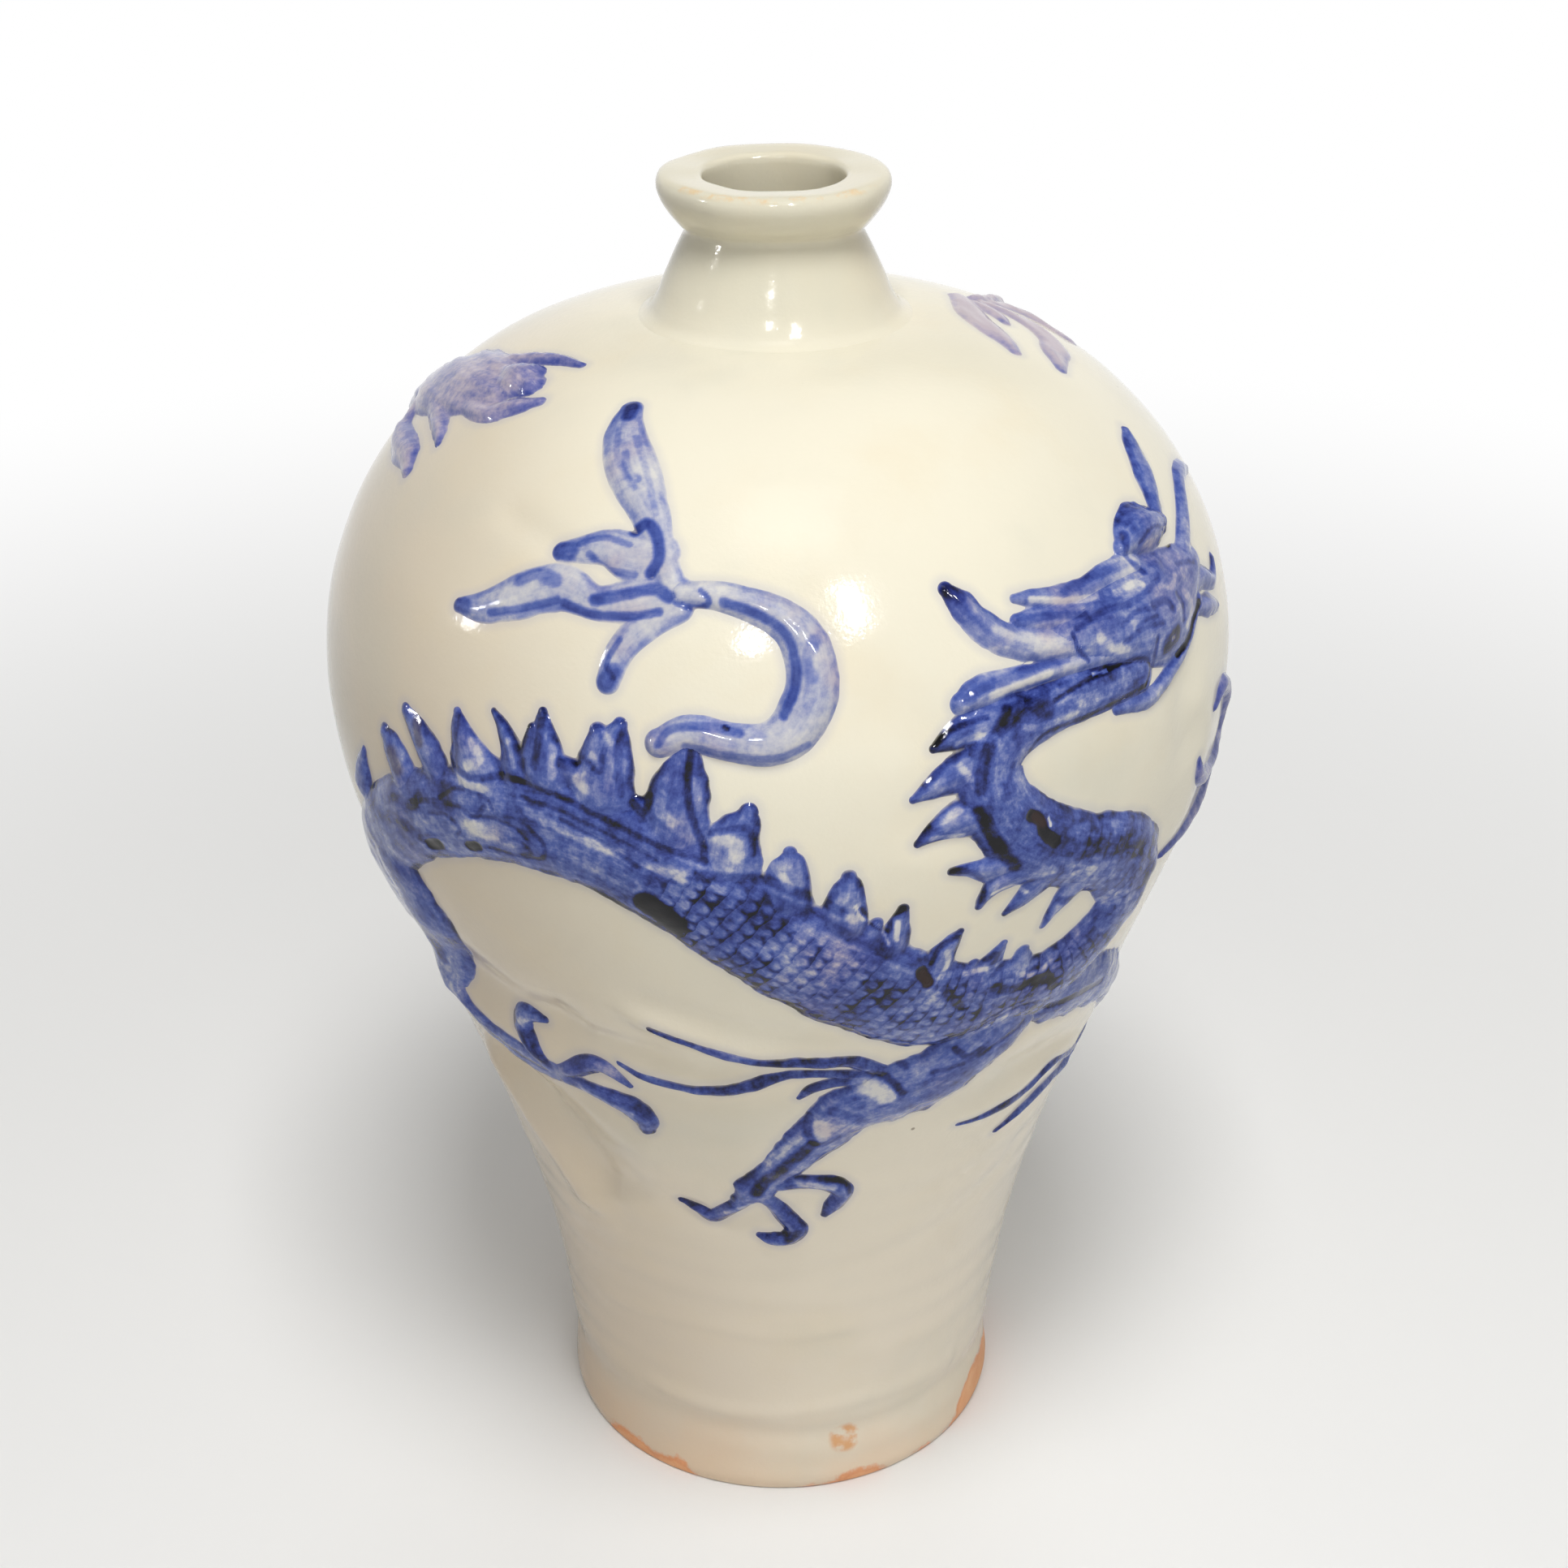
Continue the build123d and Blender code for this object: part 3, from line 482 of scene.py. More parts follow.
front_trunk_spines = (
    ((-60.5, 0.606, 1.4), (-59.5, 0.622, 0.8), (-58.6, 0.634, 0.25)),
    ((-47.5, 0.626, 1.1), (-49.3, 0.642, 1.25), (-51, 0.653, 1.0), (-52.3, 0.659, 0.55)),
    ((-41.8, 0.645, 0.9), (-43.2, 0.660, 1.05), (-45.6, 0.673, 0.85), (-48, 0.682, 0.4)),
    ((-35.5, 0.660, 1.9), (-37.8, 0.678, 1.05), (-39.2, 0.696, 0.25)),
    ((-30.4, 0.668, 0.9), (-31, 0.684, 0.62), (-32.3, 0.696, 0.38), (-33.9, 0.704, 0.15)),
    ((-26.4, 0.672, 1.4), (-26.8, 0.690, 1.05), (-27.3, 0.711, 0.25)),
    ((-28.6, 0.684, 0.5), (-28.4, 0.700, 0.3)),
    ((-19.5, 0.668, 1.9), (-18.9, 0.690, 1.4), (-17.7, 0.712, 0.35)),
    ((-20.6, 0.690, 0.8), (-20.2, 0.705, 0.5)),
    ((-22.5, 0.678, 0.8), (-24.5, 0.683, 0.5)),
    ((-11.6, 0.650, 1.7), (-10.9, 0.670, 1.65), (-10.1, 0.686, 1.2), (-9.8, 0.700, 0.6)),
    ((-14.6, 0.664, 0.6), (-15.8, 0.668, 0.35)),
    ((-5.4, 0.630, 1.6), (-4.6, 0.648, 1.3), (-3.4, 0.660, 0.8), (-3.0, 0.666, 0.45)),
    ((0.6, 0.606, 1.5), (1.1, 0.622, 1.1), (1.4, 0.634, 0.75), (1.4, 0.640, 0.3)),
    ((7.4, 0.588, 1.4), (7.7, 0.604, 1.0), (7.9, 0.616, 0.75), (7.9, 0.622, 0.35)),
    ((13.2, 0.566, 0.9), (13.8, 0.582, 0.62), (14.3, 0.594, 0.3)),
    ((10.6, 0.576, 0.7), (11.2, 0.586, 0.35)),
    ((19.2, 0.532, 1.1), (19.6, 0.549, 0.85), (21, 0.562, 0.5), (21.8, 0.568, 0.2)),
    ((26.0, 0.520, 1.1), (27.2, 0.534, 0.75), (28.3, 0.547, 0.25)),
    ((24.2, 0.528, 0.6), (24.6, 0.536, 0.3)),
    ((32.2, 0.512, 1.0), (32.0, 0.524, 0.85), (31.8, 0.533, 0.45)),
)
front_nape_spines = (
    ((28, 0.708, 1.2), (23.5, 0.706, 1.05), (20, 0.701, 0.65), (17.8, 0.696, 0.2)),
    ((24.5, 0.684, 1.2), (20.5, 0.679, 0.95), (17.6, 0.673, 0.6), (15.2, 0.667, 0.2)),
    ((25, 0.652, 1.2), (20.5, 0.650, 0.95), (18, 0.645, 0.6), (15.7, 0.638, 0.2)),
    ((27.5, 0.615, 1.0), (24.5, 0.612, 0.8), (22, 0.615, 0.42), (19.8, 0.616, 0.2)),
    ((29.5, 0.606, 1.0), (26, 0.600, 0.7), (24.4, 0.592, 0.4), (23.8, 0.585, 0.2)),
    ((34, 0.600, 1.1), (31, 0.588, 0.8), (28.6, 0.578, 0.4), (27.6, 0.574, 0.2)),
    ((40, 0.588, 1.1), (37, 0.574, 0.85), (35, 0.562, 0.5), (34, 0.552, 0.2)),
)
front_horns = (
    ((62.5, 0.776, 0.6), (64.8, 0.792, 0.95), (67.5, 0.808, 1.15), (70.5, 0.822, 1), (72.8, 0.831, 0.45)),
    ((65, 0.752, 0.9), (69, 0.762, 0.9), (73, 0.773, 0.85), (78, 0.782, 0.8), (83, 0.780, 0.7),
     (87, 0.772, 0.4)),
    ((64, 0.733, 0.9), (68, 0.730, 0.9), (72, 0.720, 0.7), (75, 0.728, 0.4)),
    ((64, 0.717, 0.6), (68, 0.711, 0.8), (71.5, 0.703, 0.4)),
)
front_mane = (
    ((52, 0.765, 1.1), (47, 0.767, 1), (42, 0.765, 0.8), (37, 0.767, 0.75), (33, 0.771, 0.5),
     (31, 0.773, 0.3)),
    ((46, 0.750, 1), (40, 0.753, 1), (34, 0.757, 0.9), (30.5, 0.760, 0.5)),
    ((42, 0.737, 1.2), (35, 0.741, 1.2), (29, 0.750, 1.1), (25.5, 0.763, 1), (23.5, 0.777, 0.9),
     (22, 0.786, 0.5)),
    ((44, 0.723, 0.6), (36, 0.727, 0.7), (29, 0.727, 0.8), (24, 0.724, 1.1), (21.5, 0.720, 0.7)),
)
front_near_claws = (
    ((-6, 0.308, 0.95), (-9.5, 0.293, 0.85), (-13, 0.282, 0.75), (-16, 0.288, 0.6), (-19, 0.295, 0.3)),
    ((-2.5, 0.308, 0.9), (0.5, 0.292, 0.95), (3, 0.277, 1), (1.5, 0.266, 1), (-1.5, 0.265, 0.9),
     (-4, 0.268, 0.3)),
    ((0, 0.326, 0.9), (4, 0.329, 0.95), (8.5, 0.326, 1), (11.3, 0.316, 1), (10, 0.302, 0.9),
     (8.5, 0.291, 0.35)),
)
front_far_claws = (
    ((80, 0.352, 0.9), (85, 0.352, 0.9), (90, 0.345, 0.8), (93, 0.333, 0.35)),
    ((79, 0.350, 0.9), (83, 0.335, 0.9), (86, 0.322, 0.8), (84, 0.310, 0.35)),
    ((78, 0.352, 0.9), (76, 0.335, 0.9), (73, 0.322, 0.7), (70, 0.326, 0.35)),
)
front_hind_claws = (
    ((-37, 0.412, 0.8), (-38.8, 0.430, 0.9), (-40.5, 0.445, 1), (-39.5, 0.456, 1), (-36, 0.456, 0.35)),
    ((-35, 0.414, 0.8), (-31, 0.427, 0.9), (-27.5, 0.434, 0.9), (-25, 0.428, 0.6), (-22.8, 0.418, 0.25)),
    ((-34, 0.408, 1.2), (-29, 0.406, 1.4), (-24.5, 0.398, 1.5), (-22, 0.387, 1.3), (-21.8, 0.374, 0.7)),
)
front_plume = (
    ((-13.5, 0.795, 0.5), (-16, 0.815, 0.55), (-18.8, 0.838, 0.7), (-23.2, 0.860, 0.95),
     (-27.5, 0.880, 0.85), (-30, 0.897, 0.6), (-31, 0.908, 0.42)),
    ((-16, 0.812, 0.8), (-19, 0.809, 0.9), (-23, 0.812, 0.7), (-27, 0.808, 0.5), (-30, 0.805, 0.35)),
    ((-13, 0.788, 0.8), (-18, 0.783, 0.75), (-23, 0.779, 0.6), (-28, 0.784, 0.85),
     (-33, 0.775, 0.85), (-38, 0.762, 0.6), (-42.5, 0.757, 0.25)),
    ((-12, 0.782, 0.5), (-15.5, 0.772, 0.55), (-18.5, 0.755, 0.5), (-19.7, 0.735, 0.4)),
)
front_ribbons = (
    ((15, 0.442, 1.2), (9, 0.459, 1.3), (3, 0.464, 1.3), (-3, 0.464, 1.2), (-8, 0.472, 1),
     (-13, 0.483, 0.7), (-16.8, 0.492, 0.35)),
    ((13, 0.440, 1), (7, 0.446, 0.9), (1, 0.447, 1), (-3.5, 0.440, 1.4), (-8, 0.431, 1.7),
     (-13, 0.431, 1), (-18, 0.434, 1.1), (-23.5, 0.441, 0.4)),
    ((12, 0.437, 1.2), (8, 0.436, 1.1), (5, 0.431, 1), (3, 0.421, 0.4)),
    ((76, 0.362, 1), (70, 0.363, 0.9), (64, 0.362, 1), (58, 0.367, 1), (51.5, 0.375, 1),
     (46, 0.364, 1.2), (40, 0.363, 1.3), (31, 0.363, 0.4)),
    ((75, 0.352, 0.9), (68, 0.345, 1), (62, 0.342, 1.1), (55, 0.345, 1.2), (49, 0.340, 1),
     (42, 0.331, 0.4)),
)
back_trunk_spines = tuple(
    ((turned, up, 1.5), (turned + 0.5, up + 0.02, 1.1), (turned + lean, up + 0.042, 0.3))
    for turned, up, lean in (
        (122, 0.590, -2), (130, 0.622, -2), (138, 0.641, -1.5), (146, 0.655, -1),
        (155, 0.660, 0), (163, 0.656, 1), (171, 0.646, 1), (178, 0.627, 1.5),
        (185, 0.606, 1.5), (192, 0.583, 1.5), (199, 0.560, 1.5), (206, 0.541, 1.5),
    )
)
back_nape_spines = (
    ((217, 0.604, 1.1), (212, 0.600, 0.8), (208, 0.592, 0.25)),
    ((213, 0.632, 1.1), (208, 0.628, 0.8), (204, 0.620, 0.25)),
    ((214, 0.660, 1.1), (209, 0.660, 0.8), (205, 0.656, 0.25)),
    ((219, 0.686, 1.1), (214, 0.690, 0.8), (210, 0.692, 0.25)),
    ((228, 0.714, 1.1), (224, 0.724, 0.8), (220, 0.732, 0.25)),
    ((238, 0.750, 1.1), (234, 0.763, 0.8), (231, 0.774, 0.25)),
    ((248, 0.787, 1.1), (244, 0.800, 0.8), (241, 0.812, 0.25)),
)
back_horns = (
    ((283, 0.903, 0.8), (289, 0.916, 0.8), (296, 0.926, 0.6), (304, 0.931, 0.3)),
    ((291, 0.866, 0.9), (298, 0.869, 0.9), (303, 0.882, 0.9), (307, 0.893, 0.45)),
    ((276, 0.845, 0.9), (284, 0.844, 0.9), (290, 0.840, 0.7), (293, 0.834, 0.3)),
)
back_near_claws = (
    ((173, 0.316, 0.95), (169, 0.303, 0.85), (165, 0.294, 0.75), (161, 0.300, 0.35)),
    ((176, 0.310, 0.9), (178, 0.295, 1), (177, 0.282, 0.9), (174, 0.275, 0.4)),
    ((177, 0.328, 0.9), (182, 0.330, 0.95), (186, 0.322, 1), (185, 0.308, 0.4)),
)
back_far_claws = (
    ((253, 0.366, 0.9), (258, 0.362, 0.9), (262, 0.350, 0.4)),
    ((252, 0.362, 0.9), (254, 0.346, 0.9), (252, 0.332, 0.4)),
    ((251, 0.366, 0.9), (246, 0.352, 0.8), (243, 0.340, 0.4)),
)
back_hind_claws = (
    ((79, 0.585, 0.9), (74, 0.570, 0.9), (66, 0.558, 0.95), (57, 0.555, 0.35)),
    ((78, 0.593, 0.9), (72, 0.588, 0.9), (66, 0.594, 0.9), (63, 0.605, 0.8), (62, 0.616, 0.35)),
    ((79, 0.598, 0.9), (78, 0.618, 0.9), (75.5, 0.636, 0.9), (71, 0.648, 0.9), (66.5, 0.643, 0.35)),
)
back_plume = (
    ((112, 0.945, 0.4), (105, 0.947, 0.55), (97, 0.948, 0.65), (90, 0.945, 0.65),
     (83, 0.935, 0.6), (78, 0.925, 0.45), (74, 0.917, 0.25)),
    ((108, 0.932, 0.4), (104, 0.915, 0.55), (97, 0.900, 0.65), (90, 0.892, 0.7),
     (84, 0.892, 0.6), (77.5, 0.886, 0.25)),
    ((106, 0.938, 0.4), (100, 0.930, 0.45), (93, 0.925, 0.2)),
    ((112, 0.925, 0.4), (113, 0.905, 0.6), (110, 0.885, 0.65), (104, 0.868, 0.4)),
)

# Kinds of clay: full width, rise above the wall, how full its section is, and the painter's
# depth of wash, depth of outline and darkening towards the tip
kinds = {
    "trunk": (27, 2.8, 3.0, 0.51, 0.22, 0.0),
    "neck": (20, 2.7, 2.8, 0.55, 0.14, 0.0),
    "skull": (24, 3.2, 2.2, 0.38, 0.14, 0.0),
    "brow": (14, 4.0, 1.9, 0.44, 0.12, 0.0),
    "jaw": (10, 2.0, 2.0, 0.36, 0.20, 0.0),
    "horn": (7, 1.6, 1.9, 0.34, 0.14, 0.15),
    "mane": (7, 1.7, 1.9, 0.24, 0.16, 0.08),
    "spine": (9, 1.5, 2.0, 0.42, 0.22, 0.05),
    "limb": (16, 2.4, 2.4, 0.47, 0.14, 0.0),
    "claw": (6, 1.7, 2.0, 0.50, 0.14, 0.05),
    "tail": (8, 2.0, 2.3, 0.15, 0.10, 0.0),
    "plume": (12, 1.2, 2.2, 0.12, 0.12, 0.12),
    "ribbon": (3.4, 1.0, 1.9, 0.58, 0.06, 0.05),
}


# How ragged the edges of the wide and the smooth kinds are, against 1 for the others
raggedness = {"trunk": 0.4, "neck": 0.5, "skull": 0.5, "plume": 0.4, "tail": 0.4}


def clays(kind, *several):
    """Several strips of one kind of clay, laid along their routes"""
    return [(kind, laid(route)) for route in several]


def laid_strokes(strokes):
    """Brush strokes with their routes laid in fine steps"""
    return [(depth, wide, laid(route)) for depth, wide, route in strokes]


# Each CAD node's clay: its own main roll comes first
dragons = {
    "front_trunk": clays("trunk", routes["front_trunk"]) + clays("spine", *front_trunk_spines),
    "front_neck": clays("neck", routes["front_neck"]) + clays("spine", *front_nape_spines),
    "front_head": clays("skull", routes["front_skull"])
    + clays("brow", routes["front_brow"])
    + clays("jaw", routes["front_jaw"])
    + clays("horn", *front_horns),
    "front_mane": clays("mane", *front_mane),
    "front_near_foreleg": clays("limb", routes["front_near_foreleg"])
    + clays("claw", *front_near_claws),
    "front_far_foreleg": clays("limb", routes["front_far_foreleg"])
    + clays("claw", *front_far_claws),
    "front_hind_leg": clays("limb", routes["front_hind_leg"]) + clays("claw", *front_hind_claws),
    "front_tail": clays("tail", routes["front_tail"]) + clays("plume", *front_plume),
    "front_ribbons": clays("ribbon", *front_ribbons),
    "back_trunk": clays("trunk", routes["back_trunk"]) + clays("spine", *back_trunk_spines),
    "back_neck": clays("neck", routes["back_neck"]) + clays("spine", *back_nape_spines),
    "back_head": clays("skull", routes["back_skull"])
    + clays("brow", routes["back_brow"])
    + clays("jaw", routes["back_jaw"])
    + clays("horn", *back_horns),
    "back_near_foreleg": clays("limb", routes["back_near_foreleg"])
    + clays("claw", *back_near_claws),
    "back_far_foreleg": clays("limb", routes["back_far_foreleg"])
    + clays("claw", *back_far_claws),
    "back_hind_leg": clays("limb", routes["back_hind_leg"]) + clays("claw", *back_hind_claws),
    "back_tail": clays("tail", routes["back_tail"]) + clays("plume", *back_plume),
}

# Brush strokes on the clay: depth of cobalt added or taken away, mm wide, and the route
front_strokes = (
    # the trunk, left of the front
    (0.40, 1.8, ((-39, 0.664), (-36, 0.661), (-32, 0.667), (-29.5, 0.668))),
    (0.34, 1.4, ((-30, 0.668), (-24, 0.664), (-18, 0.655), (-12, 0.643), (-8.5, 0.636))),
    (0.28, 1.1, ((-29, 0.659), (-23, 0.655), (-17, 0.645), (-13, 0.635))),
    (0.22, 1.1, ((-24, 0.652), (-19, 0.642), (-15, 0.630), (-11, 0.622))),
    (0.45, 1.8, ((-9.4, 0.700), (-9.6, 0.680), (-9.0, 0.660), (-8.0, 0.645), (-7.8, 0.635))),
    (0.30, 1.4, ((-46, 0.628), (-42, 0.636), (-38, 0.640), (-35.5, 0.637), (-34, 0.646))),
    (0.28, 1.1, ((-41, 0.640), (-38, 0.651), (-34, 0.652), (-32.8, 0.646))),
    (0.28, 1.1, ((-36, 0.636), (-33, 0.640), (-30, 0.638), (-28.5, 0.633))),
    (0.34, 1.3, ((-28, 0.641), (-26.2, 0.632), (-26.8, 0.621), (-30, 0.618), (-34, 0.617))),
    (0.24, 1.1, ((-32, 0.626), (-29.5, 0.630), (-28, 0.624), (-29.5, 0.620))),
    (0.28, 1.2, ((-43, 0.626), (-40, 0.630), (-38, 0.625), (-39, 0.617))),
    (0.35, 3.0, ((-50, 0.622), (-46, 0.626), (-44.5, 0.634))),
    (0.30, 4.0, ((-54, 0.600), (-50, 0.607), (-46, 0.604))),
    (1.1, 2.8, ((-37.2, 0.612), (-36.0, 0.615))),
    (1.0, 3.0, ((-44.4, 0.599), (-42.8, 0.603))),
    (1.5, 6.0, ((-14.3, 0.604), (-12.8, 0.598), (-11.4, 0.590))),
    (-0.30, 2.6, ((-28, 0.651), (-24, 0.646), (-20, 0.640), (-17, 0.636))),
    (-0.40, 3.0, ((-14, 0.630), (-11.5, 0.627), (-9.6, 0.626))),
    (-0.25, 2.4, ((-40, 0.655), (-36, 0.657), (-33.5, 0.655))),
    (-0.25, 5.0, ((-36, 0.632), (-33, 0.628), (-30, 0.632))),
    (-0.18, 5.0, ((-45, 0.615), (-40, 0.622), (-36, 0.628))),
    (-0.20, 3.0, ((-24, 0.628), (-20, 0.622), (-17, 0.612))),
    # spines: pale hearts and dark seams
    (-0.30, 2.6, ((-36.2, 0.682), (-35.0, 0.673), (-36.5, 0.668))),
    (0.30, 1.6, ((-39.0, 0.694), (-38.6, 0.680), (-38.4, 0.668))),
    (-0.25, 1.6, ((-31.2, 0.690), (-30.2, 0.676))),
    (0.35, 2.2, ((-27.2, 0.706), (-27.2, 0.690), (-27.4, 0.680))),
    (-0.32, 2.0, ((-25.4, 0.692), (-25.2, 0.676))),
    (-0.34, 2.4, ((-20.3, 0.692), (-22.2, 0.677), (-21, 0.672))),
    (-0.30, 1.6, ((-19.3, 0.706), (-18.3, 0.702))),
    (0.30, 1.4, ((-21.5, 0.690), (-19.5, 0.684), (-19, 0.697))),
    (0.30, 1.8, ((-17.4, 0.706), (-17.4, 0.690), (-17, 0.672))),
    (0.25, 2.4, ((-24.5, 0.684), (-22.5, 0.683), (-20.5, 0.687))),
    (-0.36, 3.0, ((-12.3, 0.674), (-12.6, 0.666), (-11.4, 0.660))),
    (-0.22, 2.2, ((-8.7, 0.684), (-8.4, 0.668))),
    (0.40, 2.0, ((-15.8, 0.667), (-14.4, 0.663), (-13.8, 0.672))),
    (-0.30, 3.4, ((-6.2, 0.650), (-4.6, 0.648), (-4.4, 0.640))),
    (0.32, 1.5, ((-7.2, 0.652), (-4.2, 0.657), (-2.9, 0.655), (-2.6, 0.640))),
    (0.35, 2.6, ((-9, 0.627), (-4, 0.625), (0, 0.621), (3, 0.612), (7, 0.600))),
    (0.28, 3.2, ((-1, 0.612), (3, 0.600), (8, 0.582), (13, 0.564), (18, 0.547))),
    (-0.25, 2.0, ((0.6, 0.626), (1.4, 0.618))),
    (-0.28, 2.2, ((7.4, 0.611), (6.4, 0.600), (9.5, 0.592))),
    (-0.45, 0.8, ((8.6, 0.603), (9.6, 0.592), (11.6, 0.584), (12.8, 0.570))),
    (0.50, 1.2, ((9.2, 0.600), (10.6, 0.588), (12.6, 0.580), (12.9, 0.590), (14.2, 0.595))),
    (-0.50, 1.4, ((13.6, 0.586), (13.6, 0.574))),
    (-0.35, 2.0, ((15.5, 0.563), (17.2, 0.556))),
    (-0.35, 1.8, ((20.2, 0.556), (20.6, 0.545), (19.8, 0.536))),
    (0.42, 1.3, ((18.4, 0.548), (19.4, 0.560), (21.6, 0.565), (21.6, 0.552), (22.6, 0.541))),
    (-0.42, 1.4, ((23.2, 0.532), (24.6, 0.531), (28.8, 0.531), (28.8, 0.540))),
    (0.38, 2.0, ((26.2, 0.538), (27.6, 0.540), (27.2, 0.530))),
    (-0.30, 1.6, ((31.0, 0.519), (34, 0.513), (37, 0.517))),
    (0.50, 2.4, ((20.5, 0.526), (22.4, 0.512), (23.6, 0.504))),
    (0.50, 3.0, ((28, 0.513), (31, 0.507), (35, 0.507), (38, 0.500), (38.6, 0.494))),
    (1.1, 2.6, ((17.0, 0.545), (18.2, 0.534))),
    (0.30, 2.0, ((3.5, 0.499), (6, 0.489), (9, 0.477), (13, 0.461), (18, 0.447))),
    (-0.22, 2.2, ((24, 0.463), (28, 0.470), (32, 0.478))),
    (-0.20, 3.0, ((12, 0.474), (16, 0.466), (20, 0.462))),
    (0.30, 1.2, ((27, 0.476), (31, 0.483), (35, 0.485), (39, 0.479))),
    (0.24, 1.0, ((22, 0.468), (26, 0.476), (30, 0.487), (34, 0.490))),
    (0.45, 2.6, ((40, 0.468), (45, 0.467), (49, 0.462), (53, 0.458))),
    (0.45, 2.0, ((25, 0.457), (27, 0.449), (29, 0.453))),
    # chest and neck
    (0.32, 5.0, ((33, 0.617), (38, 0.608), (43, 0.600), (47, 0.590))),
    (0.60, 3.2, ((22.5, 0.655), (24.2, 0.638), (26, 0.622), (27.4, 0.612))),
    (1.1, 2.6, ((29.0, 0.645), (30.2, 0.640), (31.0, 0.630), (32.6, 0.622))),
    (-0.9, 0.8, ((31.6, 0.639), (31.8, 0.634))),
    (-0.28, 3.6, ((30.5, 0.603), (32.5, 0.602))),
    (-0.20, 3.0, ((36, 0.597), (39, 0.590))),
    (-0.18, 5.0, ((44, 0.556), (47, 0.552), (49, 0.545))),
    (-0.26, 3.0, ((41.5, 0.556), (42.0, 0.544), (40.5, 0.534))),
    (-0.40, 1.2, ((39.4, 0.562), (37.6, 0.553), (41, 0.551))),
    (0.34, 2.2, ((35.5, 0.571), (38.6, 0.566), (39.4, 0.555))),
    (0.34, 1.2, ((37, 0.528), (38.5, 0.535), (37, 0.543))),
    (0.38, 1.6, ((19.9, 0.617), (22.4, 0.613), (23.8, 0.602), (24.0, 0.590))),
    (-0.45, 1.2, ((25.2, 0.594), (27.6, 0.596), (29.8, 0.588))),
    (-0.45, 1.0, ((19.4, 0.620), (21.6, 0.621), (22.4, 0.627))),
    (-0.35, 1.8, ((17.6, 0.650), (20.4, 0.657))),
    (-0.40, 1.6, ((17.2, 0.641), (20.8, 0.640))),
    (-0.35, 1.8, ((20.6, 0.684), (21.6, 0.676))),
    (-0.35, 2.0, ((20.6, 0.697), (22.6, 0.700), (24.8, 0.696))),
    (0.36, 1.4, ((18.0, 0.699), (20.4, 0.707), (24, 0.710))),
    (0.38, 2.6, ((26.6, 0.712), (23.6, 0.690), (22.6, 0.668))),
    (-0.18, 2.6, ((25.4, 0.690), (24.6, 0.665))),
    (0.30, 3.4, ((26.4, 0.705), (29, 0.713), (32, 0.706))),
    (0.50, 1.2, ((33, 0.710), (38, 0.715), (45, 0.716), (48.4, 0.712), (49.1, 0.705), (48, 0.697))),
    (0.38, 1.2, ((29.4, 0.684), (31.5, 0.692), (38, 0.694), (45, 0.696), (48, 0.697))),
    (-0.30, 3.2, ((37, 0.704), (42, 0.705), (47, 0.708))),
    (-0.30, 1.6, ((28.5, 0.700), (31, 0.697), (36, 0.699))),
    (-0.9, 0.7, ((39.4, 0.717), (41.6, 0.716))),
    # head
    (0.40, 1.8, ((52.6, 0.760), (51.2, 0.772), (52.2, 0.785))),
    (0.22, 2.6, ((53.6, 0.792), (57.5, 0.796), (61, 0.790))),
    (-0.28, 3.4, ((55.6, 0.771), (58.4, 0.770))),
    (0.34, 1.0, ((54, 0.776), (57, 0.780), (60.4, 0.775), (60.6, 0.768))),
    (0.75, 2.6, ((62.2, 0.764), (63.6, 0.768), (65.4, 0.772))),
    (0.75, 4.6, ((52.6, 0.714), (54.6, 0.716))),
    (-0.95, 1.1, ((53.6, 0.716), (54.0, 0.716))),
    (0.42, 1.4, ((50.4, 0.722), (50.0, 0.712), (50.4, 0.702))),
    (0.40, 2.0, ((51.0, 0.741), (53.6, 0.739), (54.6, 0.732))),
    (0.38, 1.8, ((56.6, 0.738), (57.2, 0.730), (56.8, 0.722))),
    (0.95, 1.5, ((55.6, 0.702), (58.6, 0.706), (61.6, 0.715), (64.2, 0.720))),
    (-0.30, 2.4, ((58, 0.717), (60.5, 0.724), (58.6, 0.736))),
    (-0.22, 1.6, ((53.8, 0.748), (56, 0.744), (58, 0.748))),
    (0.30, 1.4, ((60, 0.752), (63, 0.748), (65, 0.744))),
    (0.26, 1.3, ((45, 0.738), (48, 0.742), (51.4, 0.738))),
    (0.26, 1.3, ((44.6, 0.728), (48, 0.731), (52, 0.728))),
    (0.24, 1.2, ((47, 0.733), (49, 0.735), (51, 0.734))),
    (-0.25, 2.2, ((41, 0.737), (42.6, 0.729), (45, 0.724))),
    (0.44, 1.2, ((37.2, 0.744), (37.6, 0.734), (39, 0.726))),
    (0.26, 1.6, ((38, 0.746), (43, 0.750), (48, 0.748), (54, 0.752))),
    (-0.30, 1.6, ((46, 0.757), (50, 0.757), (51, 0.754))),
    (0.30, 1.6, ((66, 0.722), (69, 0.714), (71, 0.706))),
    # mane
    (-0.35, 1.6, ((33, 0.770), (38, 0.763), (43, 0.759))),
    (0.22, 2.2, ((38, 0.768), (44, 0.771), (50, 0.770))),
    (0.26, 2.0, ((30.5, 0.759), (35, 0.758), (40, 0.752))),
    (0.30, 3.6, ((23.2, 0.781), (22.2, 0.785))),
    (0.24, 1.6, ((22.8, 0.776), (25.4, 0.761), (28, 0.750), (31, 0.743))),
    (-0.15, 3.0, ((27, 0.757), (30, 0.747), (35, 0.742))),
    (0.30, 2.4, ((22, 0.722), (24, 0.727), (30, 0.731), (36, 0.732))),
    (-0.25, 1.8, ((25, 0.722), (29, 0.724), (33, 0.726))),
    # near foreleg
    (0.40, 3.0, ((30, 0.412), (33, 0.415), (36, 0.420))),
    (0.40, 2.2, ((13, 0.446), (16, 0.437), (18, 0.425))),
    (-0.42, 5.0, ((11.6, 0.436), (14, 0.430), (15.6, 0.424))),
